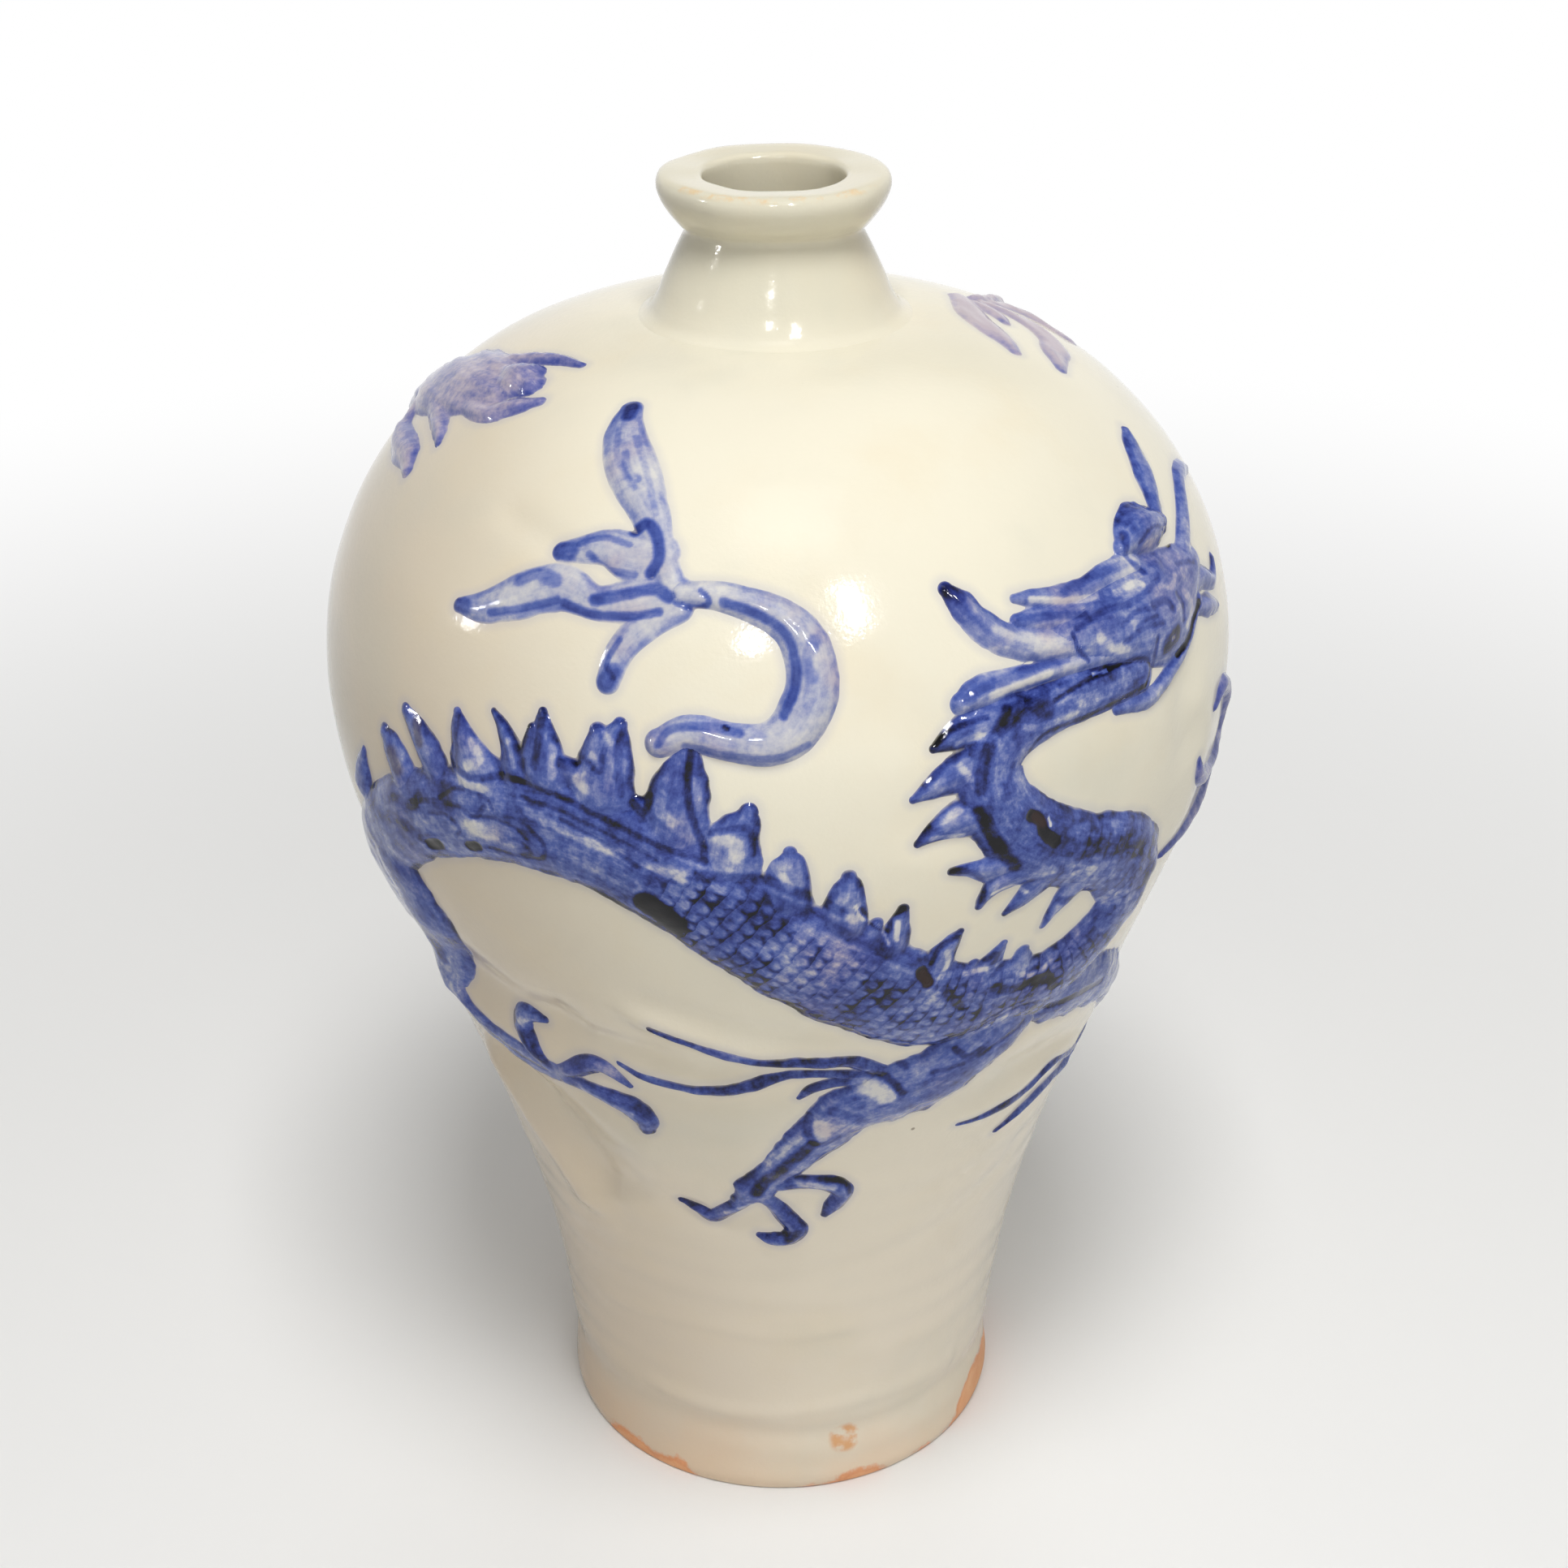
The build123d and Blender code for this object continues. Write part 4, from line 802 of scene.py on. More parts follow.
    (-0.34, 3.6, ((6.2, 0.397), (6.6, 0.390))),
    (0.60, 3.4, ((5.2, 0.378), (1.5, 0.356), (-2.5, 0.333), (-4, 0.322))),
    (-0.20, 1.8, ((3, 0.383), (-0.5, 0.362), (-3.5, 0.344))),
    (0.34, 2.2, ((4.6, 0.404), (4.4, 0.388), (6.4, 0.377), (9, 0.385))),
    (-0.25, 3.0, ((18, 0.398), (22, 0.401), (26, 0.404))),
    (0.28, 1.6, ((22, 0.440), (27, 0.444), (31, 0.452), (36, 0.462))),
    (0.26, 3.0, ((8, 0.412), (11, 0.405), (13, 0.398))),
    (-0.30, 2.4, ((3.4, 0.331), (6, 0.329), (9.4, 0.326))),
    (0.34, 1.4, ((3, 0.335), (8, 0.332), (11.4, 0.328), (12.2, 0.317))),
    (0.30, 3.0, ((3.2, 0.276), (1.6, 0.269))),
    (-0.28, 1.8, ((-5.4, 0.306), (-8, 0.299), (-10, 0.293))),
    # tail and plume
    (0.46, 2.0, ((-6.5, 0.786), (-2.4, 0.780), (0.9, 0.770), (2.2, 0.755), (2.1, 0.738), (0.8, 0.723))),
    (0.34, 1.8, ((-13, 0.704), (-11.6, 0.713), (-8, 0.716), (-4, 0.713))),
    (0.26, 1.8, ((-10, 0.704), (-5, 0.700), (0, 0.699), (3.4, 0.706))),
    (0.22, 3.0, ((4.6, 0.764), (3.4, 0.752), (4.0, 0.744))),
    (0.55, 1.0, ((-5.8, 0.716), (-5.4, 0.715))),
    (0.22, 2.0, ((-26, 0.872), (-24, 0.860), (-22, 0.856))),
    (0.60, 3.4, ((-30.2, 0.901), (-31.0, 0.908))),
    (0.16, 1.6, ((-17.5, 0.836), (-21, 0.862), (-26, 0.886))),
    (0.16, 1.6, ((-22, 0.850), (-27, 0.868), (-30, 0.888))),
    (0.52, 2.6, ((-20, 0.824), (-18.4, 0.829), (-16.8, 0.824), (-15.6, 0.810), (-16.4, 0.800))),
    (0.42, 4.2, ((-28.6, 0.806), (-30.2, 0.805))),
    (0.26, 1.6, ((-27.5, 0.811), (-24, 0.817), (-20, 0.815))),
    (0.26, 1.6, ((-25.5, 0.806), (-22.5, 0.799), (-18.5, 0.798))),
    (0.48, 2.8, ((-13.4, 0.787), (-15.4, 0.791), (-19, 0.786), (-23, 0.780))),
    (0.44, 2.0, ((-14.4, 0.778), (-18, 0.774), (-23, 0.772), (-27, 0.775))),
    (0.30, 3.4, ((-29, 0.787), (-32, 0.788), (-34, 0.782))),
    (0.40, 1.8, ((-28, 0.776), (-33, 0.766), (-37, 0.759))),
    (0.34, 3.4, ((-41, 0.758), (-43, 0.757))),
    (0.34, 3.6, ((-19.2, 0.742), (-19.8, 0.734))),
    (0.30, 1.4, ((-18.8, 0.760), (-20, 0.746), (-19, 0.738))),
    (0.40, 1.2, ((-9.4, 0.792), (-8.2, 0.786), (-10, 0.782), (-12.4, 0.784))),
    # hind leg
    (0.30, 4.0, ((-58, 0.520), (-55, 0.500), (-55, 0.475))),
    (0.32, 2.0, ((-56, 0.444), (-50, 0.426), (-44, 0.417), (-38, 0.411))),
    (-0.25, 2.6, ((-40.6, 0.447), (-39, 0.455), (-37.4, 0.456))),
    (-0.25, 3.0, ((-31, 0.407), (-27, 0.402), (-23.6, 0.394))),
    (0.26, 1.6, ((-33, 0.402), (-28, 0.399), (-25, 0.391), (-23.4, 0.378))),
    (0.35, 2.4, ((-42, 0.452), (-39, 0.436), (-36.6, 0.418))),
)
front_strokes = laid_strokes(front_strokes)

# Rust-brown burns in the cobalt: depth, mm wide, and the route
burns = laid_strokes((
    (0.8, 4.0, ((-50.2, 0.651), (-48.9, 0.644))),
    (0.8, 2.8, ((-45.6, 0.679), (-44.6, 0.669))),
    (0.7, 2.4, ((29.6, 0.643), (30.8, 0.637))),
    (0.7, 2.6, ((17.2, 0.543), (18.2, 0.534))),
    (0.5, 2.6, ((62.6, 0.765), (65, 0.771))),
    (0.9, 1.2, ((53.7, 0.716), (54.1, 0.716))),
    (0.5, 2.4, ((71, 0.820), (72.4, 0.812))),
))

# Where rows of small scales are brushed on: strength, mm wide, and the route
scaled_rows = laid_strokes((
    (1.0, 25, ((-8, 0.597), (0, 0.560), (10, 0.522), (20, 0.500), (30, 0.488), (38, 0.485))),
    (0.5, 20, ((38, 0.500), (46, 0.512), (50, 0.545), (46, 0.578), (38, 0.597))),
    (0.8, 25, ((125, 0.572), (150, 0.620), (180, 0.585), (210, 0.500), (228, 0.540), (222, 0.590))),
))

# How softly strips melt into each other, how low the height is where there is no clay, how far
# from any clay a bare place counts as, and the sheets' grids at the front and at the back, in mm
SOFT = 0.2
BARE = -3.0
FAR_AWAY = 20.0
FRONT_SPACING = 0.42
BACK_SPACING = 0.6
# Each strip's brushing starts this many mm further along the pattern than the last one's
STRIP_SHIFT = 37.0

LUMPS = 128
chance = np.random.default_rng(7)
pebbles = chance.random((LUMPS, LUMPS))


def lumpy(across, up, size, seed=0):
    """Soft random lumps of a size in mm, from -1 to 1"""
    across, up = across / size + 17.3 * seed, up / size + 5.1 * seed
    column, row = np.floor(across).astype(int), np.floor(up).astype(int)
    to_right, to_top = eased(across - column), eased(up - row)
    left, right, below, above = (place % LUMPS for place in (column, column + 1, row, row + 1))
    low = pebbles[left, below] * (1 - to_right) + pebbles[right, below] * to_right
    high = pebbles[left, above] * (1 - to_right) + pebbles[right, above] * to_right
    return 2 * (low * (1 - to_top) + high * to_top) - 1


def brushed(strokes, azimuth, reach, thin=False):
    """Sum of the brush strokes at places on the wall, or of the thin dark ones only"""
    colour = np.zeros(len(azimuth))
    for depth, wide, route in strokes:
        if thin and (depth < 0 or wide > 3):
            continue
        nearby = near(route, azimuth, reach, wide)
        if nearby.any():
            _, off, _ = along(route, azimuth[nearby], reach[nearby])
            edge = np.clip((wide * 0.72 - np.abs(off)) / (wide * 0.45), 0, 1)
            colour[nearby] += depth * eased(edge)
    return colour


def clay_height(strips, azimuth, reach, guides=None):
    """Height of joined clay strips over the wall, and how far inside their outline a place is.
    guides, a dictionary of arrays, also takes what the painter needs of the topmost strip."""
    height = np.full(len(azimuth), BARE)
    inside = np.full(len(azimuth), -8.0)
    top = np.full(len(azimuth), -9.0)
    flat = azimuth * one_degree(reach)
    wobble = lumpy(flat, reach, 5.0) * 0.10 + lumpy(flat, reach, 2.2, 3) * 0.05
    for number, (kind, fine) in enumerate(strips):
        width, rise, fullness, wash, outlined, tipped = kinds[kind]
        nearby = near(fine, azimuth, reach, width * 0.75 + 6)
        if not nearby.any():
            continue
        run, off, share = along(fine, azimuth[nearby], reach[nearby])
        half = width / 2 * share * (1 + raggedness.get(kind, 1.0) * wobble[nearby])
        tall = rise * share**0.7
        distance = np.abs(off)
        dome = tall * (1 - (distance / half) ** fullness)
        fall = -np.maximum(fullness * tall / half, 0.4) * (distance - half)
        dome = np.maximum(np.where(distance > half, fall, dome), BARE)
        height[nearby] = SOFT * np.logaddexp(height[nearby] / SOFT, dome / SOFT)
        inside[nearby] = np.maximum(inside[nearby], half - distance)
        if guides is not None:
            higher = dome > top[nearby]
            spots = np.flatnonzero(nearby)[higher]
            top[spots] = dome[higher]
            progress = run[higher] / max(run.max(), 1e-6)
            tip = np.clip((progress - 0.55) / 0.45, 0, 1)
            guides["run"][spots] = run[higher] + STRIP_SHIFT * number
            guides["off"][spots] = off[higher]
            guides["rim"][spots] = (half - distance)[higher]
            guides["wash"][spots] = wash + tipped * tip * tip
            guides["outlined"][spots] = outlined
            guides["scaly"][spots] = kind in ("trunk", "neck")
    return height, inside


def pressed_clay(name, cad_node, spacing):
    """One dragon piece: a sheet over its region, raised to the clay's height, trimmed round it"""
    own = dragons[cad_node]
    low = np.min([fine.min(0) for _, fine in own], 0)
    high = np.max([fine.max(0) for _, fine in own], 0)
    widest = max(kinds[kind][0] for kind, _ in own) * 0.75 + 3
    smallest = one_degree((low[1], high[1])).min()
    largest = math.floor(BELLY[0]) * np.pi / 180
    low_azimuth, high_azimuth = low[0] - widest / smallest, high[0] + widest / smallest
    low_reach, high_reach = low[1] - widest, high[1] + widest
    across = int((high_azimuth - low_azimuth) * largest / spacing)
    up = int((high_reach - low_reach) / spacing)
    bpy.ops.mesh.primitive_grid_add(x_subdivisions=across, y_subdivisions=up, size=1)
    piece = bpy.context.object
    piece.name = piece.data.name = name
    flat = vertices_of(piece)
    azimuth = low_azimuth + (flat[:, 0] + 0.5) * (high_azimuth - low_azimuth)
    reach = low_reach + (flat[:, 1] + 0.5) * (high_reach - low_reach)
    guides = {
        "run": np.zeros(len(azimuth)),
        "off": np.zeros(len(azimuth)),
        "rim": np.full(len(azimuth), -4.0),
        "wash": np.full(len(azimuth), 0.5),
        "outlined": np.zeros(len(azimuth)),
        "scaly": np.zeros(len(azimuth)),
    }
    height, inside = clay_height(own, azimuth, reach, guides)
    others = np.full(len(azimuth), BARE)
    for other, strips in dragons.items():
        if other != cad_node and other[:5] == cad_node[:5]:
            theirs, _ = clay_height(strips, azimuth, reach)
            others = np.maximum(others, theirs)
    around = np.maximum(others, 0)
    sideways = azimuth * one_degree(reach)
    uneven = 0.28 * lumpy(sideways, reach, 9.0, 1) + 0.16 * lumpy(sideways, reach, 3.6, 2)
    incised = brushed(front_strokes, azimuth, reach, thin=True)
    worked = np.clip(height, 0, 1) * (uneven - 0.30 * np.clip(incised, 0, 1))
    joined = SOFT * np.logaddexp(np.logaddexp(height / SOFT, others / SOFT), 0)
    buried = np.clip((around - height) / 0.8, 0, 1)
    joined += worked - 0.30 * eased(buried)
    place_vertices(piece, on_wall(azimuth, reach, joined))
    guides["scaly"] *= np.clip(brushed(scaled_rows, azimuth, reach), 0, 1)
    for guide, values in guides.items():
        paint(piece, guide, values)
    paint(piece, "inside", inside)
    paint(piece, "strokes", brushed(front_strokes, azimuth, reach))
    paint(piece, "burnt", brushed(burns, azimuth, reach))
    # Trim away the sheet where no clay shows
    stays = height > around - 1.0
    corners = np.empty(len(piece.data.loops), dtype=np.int32)
    piece.data.loops.foreach_get("vertex_index", corners)
    face_stays = stays[corners].reshape(-1, 4).any(1)
    bpy.ops.object.mode_set(mode="EDIT")
    bpy.ops.mesh.select_mode(type="FACE")
    bpy.ops.mesh.select_all(action="DESELECT")
    bpy.ops.object.mode_set(mode="OBJECT")
    piece.data.polygons.foreach_set("select", ~face_stays)
    bpy.ops.object.mode_set(mode="EDIT")
    bpy.ops.mesh.delete(type="FACE")
    bpy.ops.object.mode_set(mode="OBJECT")
    bpy.ops.object.shade_smooth()
    piece.select_set(False)
    return piece


def knead_round_dragons(wall, first, last):
    """Kneads a wall, and writes how far each of its vertices lies from any clay"""
    outside, azimuth, reach = knead(wall, first, last)
    nearest = np.full(len(azimuth), FAR_AWAY)
    for strips in dragons.values():
        for turned in (0, 360):
            _, inside = clay_height(strips, azimuth + turned, reach)
            nearest = np.minimum(nearest, -inside)
    away = np.full(len(outside), FAR_AWAY)
    away[outside] = nearest
    paint(wall, "away", away)


knead_round_dragons(lower_wall, 0, SEAM + OVERLAP)
knead_round_dragons(upper_wall, SEAM - OVERLAP, SHOULDER_END)
paint(neck, "away", np.full(len(neck.data.vertices), FAR_AWAY))

dragon_pieces = {}
for cad_node in dragons:
    name = cad_node.replace("front_", "front_dragon_").replace("back_", "back_dragon_")
    coarse = cad_node.startswith("back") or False
    spacing = BACK_SPACING if coarse else FRONT_SPACING
    dragon_pieces[cad_node] = pressed_clay(name, cad_node, spacing)

# shader parts for the glaze and the cobalt


def node(tree, kind, *feeds, **settings):
    """Adds a shader node. Each feed is another node's output, a plain figure, or None"""
    made = tree.nodes.new("ShaderNode" + kind)
    for key, value in settings.items():
        setattr(made, key, value)
    for socket, feed in zip(made.inputs, feeds):
        if isinstance(feed, bpy.types.NodeSocket):
            tree.links.new(feed, socket)
        elif feed is not None:
            socket.default_value = feed
    return made


def sums(tree, how, *feeds, clamp=False):
    """A sum on figures or other nodes' outputs"""
    return node(tree, "Math", *feeds, operation=how, use_clamp=clamp).outputs[0]


def between(tree, value, low, high, start=0.0, end=1.0):
    """Runs smoothly from start to end while the value goes from low to high"""
    return node(
        tree, "MapRange", value, low, high, start, end, interpolation_type="SMOOTHSTEP"
    ).outputs[0]


def tint(tree, amount, first, second, how="MIX"):
    """Mixes two colours by an amount"""
    made = tree.nodes.new("ShaderNodeMix")
    made.data_type = "RGBA"
    made.blend_type = how
    for socket, feed in ((made.inputs[0], amount), (made.inputs[6], first), (made.inputs[7], second)):
        if isinstance(feed, bpy.types.NodeSocket):
            tree.links.new(feed, socket)
        else:
            socket.default_value = (*feed, 1.0) if isinstance(feed, tuple) else feed
    return made.outputs[2]


def grain(tree, place, scale, detail=3.0, rough=0.55):
    """Noise at a scale in features per metre"""
    return node(tree, "TexNoise", place, None, scale, detail, rough).outputs[0]


def srgb(red, green, blue):
    """A colour as read off, 0 to 255, for a shader socket"""
    return tuple(
        part / 12.92 if part <= 0.04045 else ((part + 0.055) / 1.055) ** 2.4
        for part in (red / 255, green / 255, blue / 255)
    )


def spot(tree, place, where, size):
    """1 at a place on the pot, fading to 0 at a size in metres from it"""
    gap = node(tree, "VectorMath", place, where, operation="DISTANCE").outputs["Value"]
    return between(tree, gap, size * 0.35, size, 1.0, 0.0)


def seen_directly(tree):
    """1 for rays from the camera, from a mirroring surface or through glass, and 0 for others"""
    path = node(tree, "LightPath")
    seen = sums(tree, "ADD", path.outputs["Is Camera Ray"], path.outputs["Is Glossy Ray"])
    return sums(tree, "ADD", seen, path.outputs["Is Transmission Ray"], clamp=True)


def pot_glaze(tree, place):
    """The glaze's colour: ivory on the shoulder, greyer at the neck, and painted shade that makes it
    browner and darker low on the left
    """
    x, y, z = node(tree, "SeparateXYZ", place).outputs
    cloudy = grain(tree, place, 9.0, 3.0)
    up = sums(tree, "MULTIPLY_ADD", cloudy, 0.06, z)
    glaze = tint(tree, between(tree, up, 0.05, 0.30), srgb(232, 221, 202), srgb(231, 225, 205))
    glaze = tint(tree, between(tree, up, 0.345, 0.375), glaze, srgb(217, 211, 190))
    # painted shade: the lower left side, turned away from the lamps, is tinted browner and darker
    left = sums(tree, "MULTIPLY_ADD", x, -1.0, sums(tree, "MULTIPLY", z, -0.15))
    glaze = tint(tree, between(tree, left, -0.03, 0.06, 0.0, 0.62), glaze, srgb(196, 176, 152))
    stain = between(tree, grain(tree, place, 26.0, 4.0), 0.45, 0.75, 0.0, 0.20)
    glaze = tint(tree, stain, glaze, srgb(224, 204, 164))
    grey = between(tree, grain(tree, place, 14.0, 4.0), 0.50, 0.72, 0.0, 0.25)
    glaze = tint(tree, grey, glaze, srgb(192, 194, 182))
    # a few pinholes and iron specks
    cells = node(tree, "TexVoronoi", place, None, 62.0)
    rare = between(tree, cells.outputs["Color"], 0.70, 0.72)
    speck = sums(tree, "MULTIPLY", between(tree, cells.outputs["Distance"], 0.02, 0.045, 0.7, 0.0), rare)
    glaze = tint(tree, speck, glaze, srgb(104, 88, 66))
    # ochre flecks on the lip's front edge
    level_place = node(tree, "VectorMath", place, (1, 1, 0), operation="MULTIPLY").outputs[0]
    wide = node(tree, "VectorMath", level_place, operation="LENGTH").outputs["Value"]
    lip = sums(tree, "MULTIPLY", between(tree, wide, 0.0248, 0.0262), between(tree, z, 0.3578, 0.3590))
    lip = sums(tree, "MULTIPLY", lip, between(tree, y, -0.010, -0.018))
    rusty = between(tree, grain(tree, place, 230.0, 4.0, 0.65), 0.46, 0.66, 0.0, 0.6)
    glaze = tint(tree, sums(tree, "MULTIPLY", lip, rusty), glaze, srgb(222, 186, 130))
    # the glaze thins and warms towards the foot, and leaves bare clay burnt orange at its edge
    flushed = sums(tree, "MULTIPLY_ADD", grain(tree, place, 30.0, 4.0), 0.05, z)
    glaze = tint(tree, between(tree, flushed, 0.020, 0.055, 0.45, 0.0), glaze, srgb(226, 190, 152))
    ragged = sums(tree, "MULTIPLY_ADD", grain(tree, place, 70.0, 6.0, 0.65), 0.020, -0.010)
    low = sums(tree, "ADD", z, ragged)
    around = grain(tree, level_place, 24.0, 1.0)
    reach = between(tree, around, 0.40, 0.62, -0.007, 0.0018)
    for where, size, deep in (
        ((-0.046, -0.042, 0.0), 0.020, 0.006),
        ((-0.034, -0.053, 0.0), 0.020, 0.007),
        ((-0.010, -0.061, 0.0), 0.020, 0.003),
        ((0.016, -0.061, 0.0), 0.020, 0.009),
        ((0.040, -0.048, 0.0), 0.018, 0.002),
        ((0.060, -0.020, 0.004), 0.022, 0.012),
        ((0.062, 0.010, 0.004), 0.024, 0.010),
    ):
        reach = sums(tree, "MULTIPLY_ADD", spot(tree, place, where, size), deep, reach)
    depth = sums(tree, "SUBTRACT", reach, low)
    bare = between(tree, depth, -0.0010, 0.0016, 0.0, 0.9)
    burnt = tint(tree, grain(tree, place, 160.0, 5.0, 0.6), srgb(222, 140, 88), srgb(246, 196, 146))
    burnt = tint(tree, between(tree, depth, 0.0005, 0.0035, 0.6, 0.0), burnt, srgb(214, 124, 72))
    # a ring-shaped scar where the glaze crawled back above the foot's front
    scar = (0.0185, -0.0600, 0.0165)
    crawled = node(tree, "VectorMath", place, scar, operation="DISTANCE").outputs["Value"]
    crawled = sums(tree, "MULTIPLY_ADD", ragged, 0.22, crawled)
    from_ring = sums(tree, "ABSOLUTE", sums(tree, "SUBTRACT", crawled, 0.0030))
    ring = between(tree, from_ring, 0.0006, 0.0028, 0.9, 0.0)
    crawl_gaps = between(tree, grain(tree, place, 190.0, 3.0), 0.40, 0.58)
    glaze = tint(tree, sums(tree, "MULTIPLY", ring, crawl_gaps), glaze, srgb(222, 164, 112))
    glaze = tint(tree, bare, glaze, burnt)
    return glaze, bare


# A scale's length and width on the dragons' backs, in mm
SCALE_LONG = 3.7
SCALE_WIDE = 3.3


def cobalt(tree, place, faded):
    """How deep the brushed cobalt is, how much of it shows, and where it burnt brown"""
    guide = {
        name: node(tree, "Attribute", attribute_name=name).outputs["Fac"]
        for name in ("run", "off", "rim", "inside", "wash", "outlined", "strokes", "burnt", "scaly")
    }
    ragged = sums(tree, "MULTIPLY_ADD", grain(tree, place, 170.0, 4.0), 1.5, -0.75)
    rim = sums(tree, "ADD", guide["rim"], ragged)
    inside = sums(tree, "MULTIPLY_ADD", ragged, 0.6, guide["inside"])
    # streaks of the brush along each strip, blotches of watery colour, and fine mottling
    drawn = node(
        tree,
        "CombineXYZ",
        sums(tree, "MULTIPLY", guide["run"], 0.10),
        sums(tree, "MULTIPLY", guide["off"], 0.62),
        0.0,
    ).outputs[0]
    streak = grain(tree, drawn, 1.0, 4.0, 0.6)
    pool = grain(tree, place, 50.0, 2.0)
    blotch = grain(tree, place, 130.0, 5.0, 0.65)
    fine = grain(tree, place, 520.0, 3.0, 0.6)
    mottle = sums(tree, "MULTIPLY_ADD", streak, 0.55, -0.275)
    for pattern, strength in ((pool, 0.80), (blotch, 1.05), (fine, 0.34)):
        lowered = sums(tree, "SUBTRACT", mottle, strength / 2)
        mottle = sums(tree, "MULTIPLY_ADD", pattern, strength, lowered)
    watery = sums(tree, "MULTIPLY_ADD", guide["wash"], 1.4, 0.26 - faded)
    depth = sums(tree, "MULTIPLY_ADD", mottle, watery, sums(tree, "SUBTRACT", guide["wash"], faded))
    broken = between(tree, grain(tree, place, 95.0, 2.0), 0.32, 0.62, 0.3, 1.5)
    line = sums(tree, "MULTIPLY", between(tree, rim, 0.2, 2.2, 1.0, 0.0), guide["outlined"])
    line = sums(tree, "MULTIPLY", line, broken)
    depth = sums(tree, "ADD", depth, line)
    # scales: staggered rows of pale hearts, each with a dark curved stroke round one side
    shaken = node(tree, "TexNoise", place, None, 230.0, 2.0)
    wander = node(
        tree, "VectorMath", shaken.outputs["Color"], (0.5, 0.5, 0.5), operation="SUBTRACT"
    ).outputs[0]
    ahead, aside, _ = node(tree, "SeparateXYZ", wander).outputs
    rows = sums(tree, "MULTIPLY", ahead, 0.7)
    rows = sums(tree, "MULTIPLY_ADD", guide["run"], 1 / SCALE_LONG, rows)
    stagger = sums(tree, "MULTIPLY", sums(tree, "MODULO", sums(tree, "FLOOR", rows), 2.0), 0.5)
    files = sums(tree, "MULTIPLY_ADD", aside, 0.7, stagger)
    files = sums(tree, "MULTIPLY_ADD", guide["off"], 1 / SCALE_WIDE, files)
    ahead = sums(tree, "SUBTRACT", sums(tree, "FRACT", rows), 0.5)
    aside = sums(tree, "SUBTRACT", sums(tree, "FRACT", files), 0.5)
    squares = (sums(tree, "MULTIPLY", ahead, ahead), sums(tree, "MULTIPLY", aside, aside))
    gap = sums(tree, "SQRT", sums(tree, "ADD", *squares))
    curved = between(tree, gap, 0.18, 0.52, -0.35, 0.85)
    curved = sums(tree, "MULTIPLY", curved, between(tree, ahead, -0.40, 0.30, 0.25, 1.0))
    patchy = between(tree, grain(tree, place, 130.0, 3.0), 0.36, 0.64, 0.16, 0.52)
    scales = sums(tree, "MULTIPLY", sums(tree, "MULTIPLY", curved, guide["scaly"]), patchy)
    depth = sums(tree, "ADD", depth, scales)
    depth = sums(tree, "MULTIPLY_ADD", guide["strokes"], 0.8, depth)
    shown = between(tree, inside, -1.15, 0.25)
    return depth, shown, guide["burnt"]


# Colours of the cobalt from a thin wash to a thick stroke
cobalt_colours = (
    (0.0, (208, 206, 202)),
    (1.0, (6, 6, 14)),
    (0.14, (180, 181, 194)),
    (0.30, (124, 134, 180)),
    (0.48, (75, 93, 162)),
    (0.66, (48, 63, 134)),
    (0.84, (23, 31, 84)),
)


def cobalt_ramp(tree, depth):
    """The colour of the cobalt at a depth"""
    ramp = node(tree, "ValToRGB", depth)
    stops = ramp.color_ramp.elements
    for number, (position, shade) in enumerate(cobalt_colours):
        stop = stops[number] if number < 2 else stops.new(position)
        stop.position = position
        stop.color = (*srgb(*shade), 1)
    return ramp.outputs[0]


def pot_material(name, painted, faded=0.0):
    """Glossy glaze over stoneware, with or without brushed cobalt under it"""
    material = bpy.data.materials.new(name)
    material.use_nodes = True
    tree = material.node_tree
    tree.nodes.clear()
    place = node(tree, "TexCoord").outputs["Object"]
    colour, bare = pot_glaze(tree, place)
    if painted:
        depth, shown, burnt = cobalt(tree, place, faded)
        paint_colour = cobalt_ramp(tree, depth)
        violet = between(tree, grain(tree, place, 45.0, 3.0), 0.48, 0.7, faded * 3.0, 0.4)
        paint_colour = tint(tree, violet, paint_colour, srgb(200, 165, 205), "MULTIPLY")
        paint_colour = tint(tree, sums(tree, "MULTIPLY", burnt, 0.75), paint_colour, srgb(58, 34, 26))
        colour = tint(tree, shown, colour, paint_colour)
    else:
        away = node(tree, "Attribute", attribute_name="away").outputs["Fac"]
        halo = between(tree, away, 0.0, 3.0, 0.22, 0.0)
        colour = tint(tree, halo, colour, srgb(150, 155, 190))
    shader = tree.nodes.new("ShaderNodeBsdfPrincipled")
    tree.links.new(colour, shader.inputs["Base Color"])
    tree.links.new(between(tree, bare, 0.2, 0.8, 0.11, 0.6), shader.inputs["Roughness"])
    shader.inputs["IOR"].default_value = 1.37
    # pitted, slightly orange-peeled skin of the glaze
    pitted = grain(tree, place, 900.0, 2.0, 0.6)
    peel = sums(tree, "MULTIPLY_ADD", grain(tree, place, 210.0, 2.0), 1.6, pitted)
    skin = tree.nodes.new("ShaderNodeBump")
    skin.inputs["Strength"].default_value = 0.13
    skin.inputs["Distance"].default_value = 0.0003
    tree.links.new(peel, skin.inputs["Height"])
    tree.links.new(skin.outputs[0], shader.inputs["Normal"])
    out = tree.nodes.new("ShaderNodeOutputMaterial")
    tree.links.new(shader.outputs[0], out.inputs[0])
    return material


plain_glaze = pot_material("pale glaze over stoneware", False)
painted_glaze = pot_material("cobalt painted clay under glaze", True)
faded_glaze = pot_material("thin purplish cobalt under glaze", True, 0.16)

for piece, cad_node in ((lower_wall, "lower_body"), (upper_wall, "upper_body"), (neck, "neck")):
    piece.data.materials.append(plain_glaze)
    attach(piece, "root")
    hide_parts(cad_node)
for cad_node, piece in dragon_pieces.items():
    piece.data.materials.append(faded_glaze if cad_node.startswith("back") else painted_glaze)
    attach(piece, "root")
    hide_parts(cad_node)

# the floor, which fades to white at a distance, and the studio's soft light

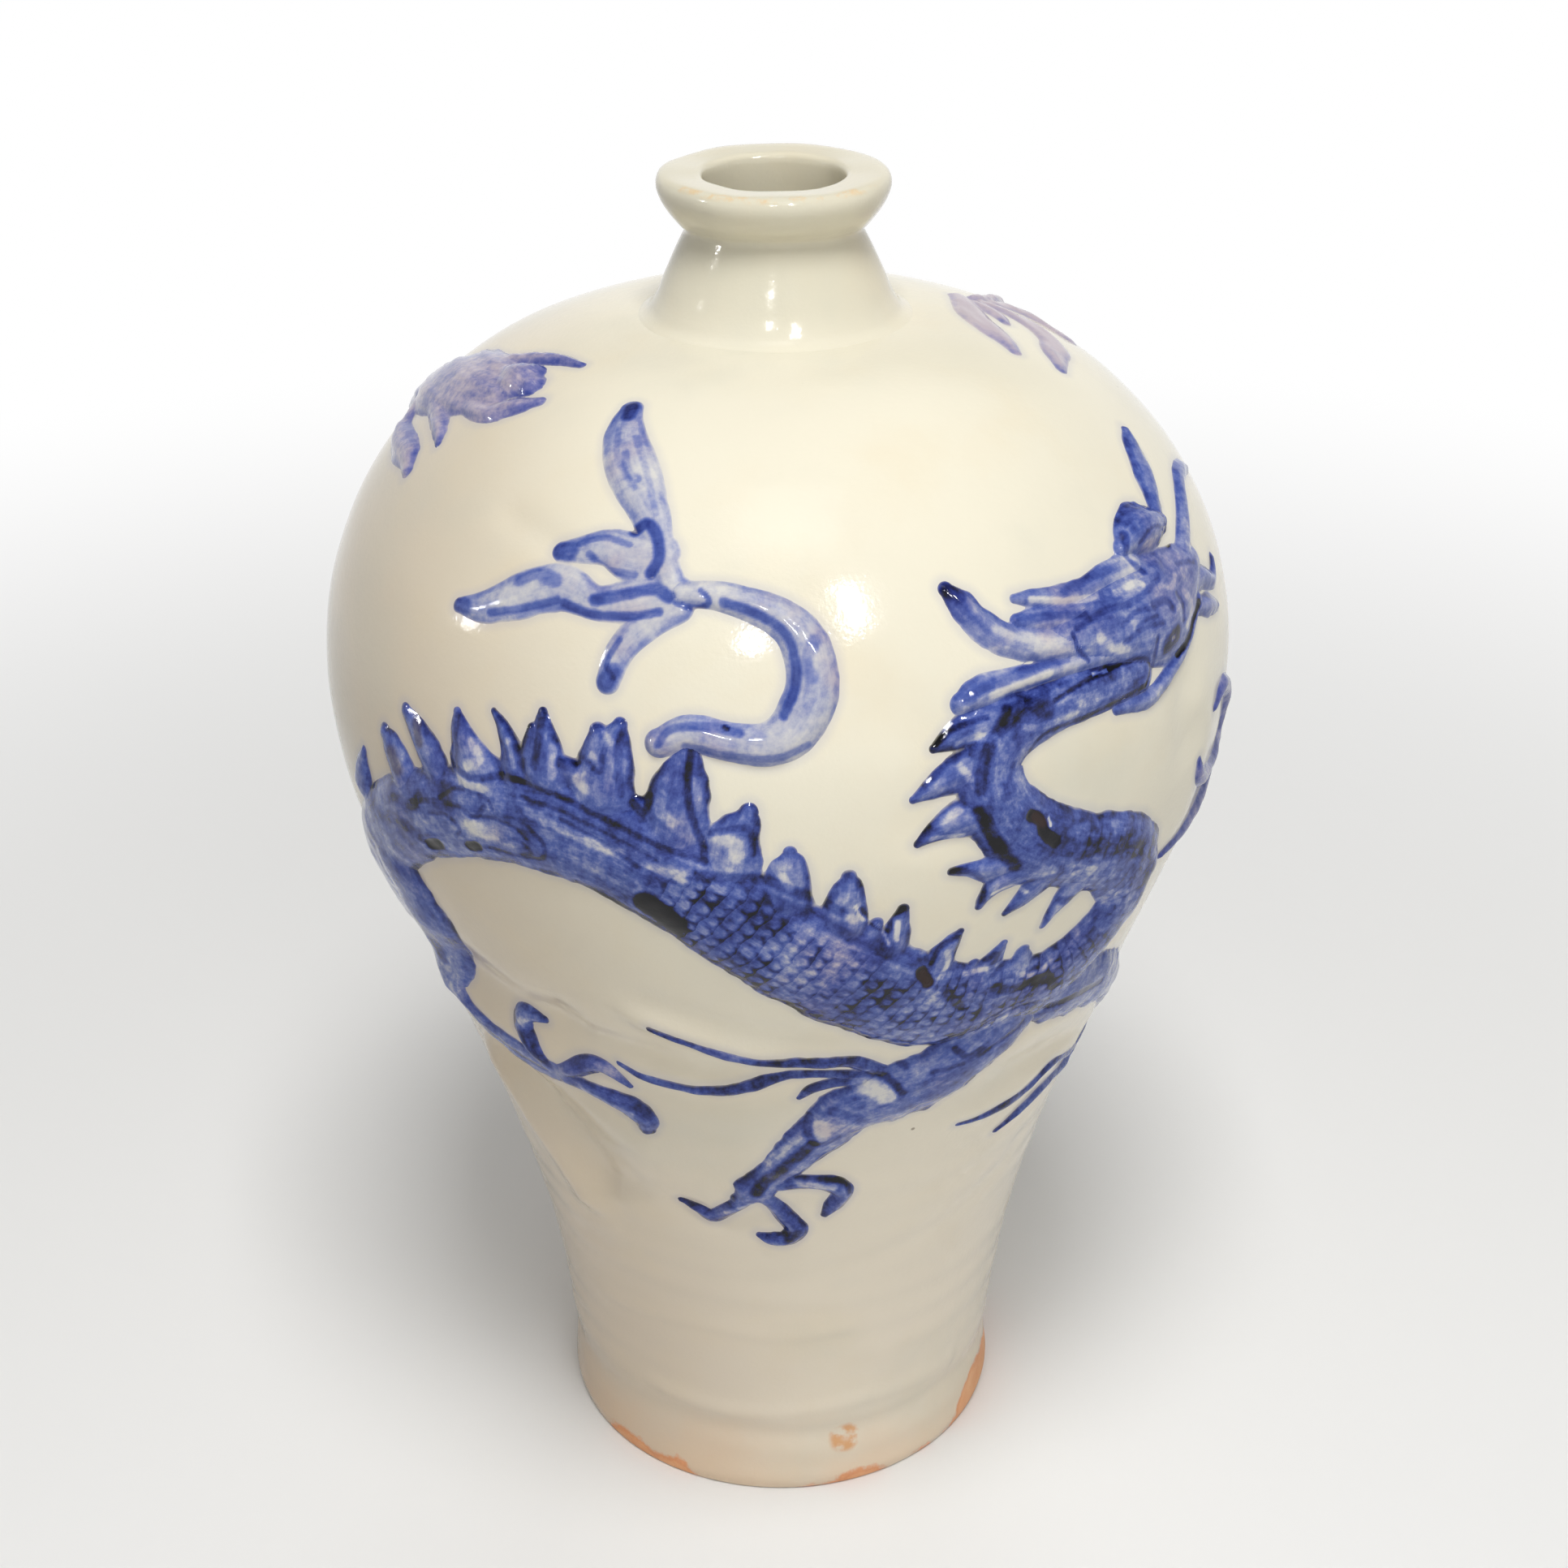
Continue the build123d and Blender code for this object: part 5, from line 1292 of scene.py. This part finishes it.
bpy.ops.mesh.primitive_plane_add(size=12, location=(0, 0, 0))
floor = bpy.context.object
floor.name = "floor"
table = bpy.data.materials.new("pale table")
table.use_nodes = True
boards = table.node_tree
boards.nodes.clear()
seen = seen_directly(boards)
spread = node(boards, "TexCoord").outputs["Object"]
spread = node(boards, "VectorMath", spread, operation="LENGTH").outputs["Value"]
far = sums(boards, "MULTIPLY", between(boards, spread, 0.25, 1.0), seen)
matt = node(boards, "BsdfDiffuse", tint(boards, seen, (0.70, 0.70, 0.69), (0.88, 0.88, 0.87)))
white = node(boards, "Emission", (1, 1, 1, 1), 1.0)
mixed = node(boards, "MixShader", far, matt.outputs[0], white.outputs[0])
node(boards, "OutputMaterial", mixed.outputs[0])
floor.data.materials.append(table)

world = bpy.data.worlds.new("studio")
bpy.context.scene.world = world
world.use_nodes = True
sky = world.node_tree
sky.nodes.clear()
seen = seen_directly(sky)
upward = node(sky, "SeparateXYZ", node(sky, "TexCoord").outputs["Generated"]).outputs["Z"]
backdrop = sums(sky, "MULTIPLY", between(sky, upward, 0.20, 0.55, 1.0, 0.0), seen)
soft_fill = node(sky, "Background", (1.0, 0.985, 0.96, 1), 0.30)
white = node(sky, "Background", (1, 1, 1, 1), 1.0)
either = node(sky, "MixShader", backdrop, soft_fill.outputs[0], white.outputs[0])
node(sky, "OutputWorld", either.outputs[0])


# Where the lamps look, and how far from there they stand, in metres
POT_MIDDLE = (0, 0, 0.24)
LAMP_DISTANCE = 1.5


def lamp(name, azimuth, elevation, size, power, tall=None):
    """A soft lamp at a bearing from the pot, looking at it"""
    turn, rise = math.radians(azimuth), math.radians(elevation)
    way = Vector((math.sin(turn) * math.cos(rise), -math.cos(turn) * math.cos(rise), math.sin(rise)))
    bpy.ops.object.light_add(type="AREA", location=Vector(POT_MIDDLE) + way * LAMP_DISTANCE)
    made = bpy.context.object
    made.name = name
    made.data.shape = "RECTANGLE"
    made.data.size = size
    made.data.size_y = tall or size
    made.data.energy = power
    made.rotation_mode = "QUATERNION"
    made.rotation_quaternion = (-way).to_track_quat("-Z", "Y")
    return made


for name, azimuth, elevation, size, power in (
    ("overhead", 6, 66, 0.5, 15.5),
    ("front softbox", 14, 12, 0.7, 4.8),
    ("back softbox", 170, 40, 0.7, 3.0),
):
    soft = lamp(name, azimuth, elevation, size, power)
    soft.visible_glossy = False
lamp("sheen", 5, 76, 0.5, 1.0)
for name, azimuth, elevation, width, tall, power in (
    ("front spot", -6, 37, 0.075, 0.075, 4.5),
    ("right window", 22, 44, 0.06, 0.34, 12.0),
    ("left window", -82, 18, 0.06, 0.14, 4.0),
):
    glint = lamp(name, azimuth, elevation, width, power, tall)
    glint.visible_diffuse = False

# the camera stands where the photographer did, looking down by some degrees and hardly tilted
LOOKS_DOWN = 27.75
TILT = -0.28
bpy.ops.object.camera_add(location=(0.0016, -0.5814, 0.5000))
camera = bpy.context.object
camera.rotation_euler = (math.radians(90 - LOOKS_DOWN), 0, 0)
camera.rotation_euler.rotate_axis("Z", math.radians(TILT))
camera.data.lens = 55.9
camera.data.sensor_width = 36
bpy.context.scene.camera = camera
bpy.context.scene.view_settings.view_transform = "Standard"
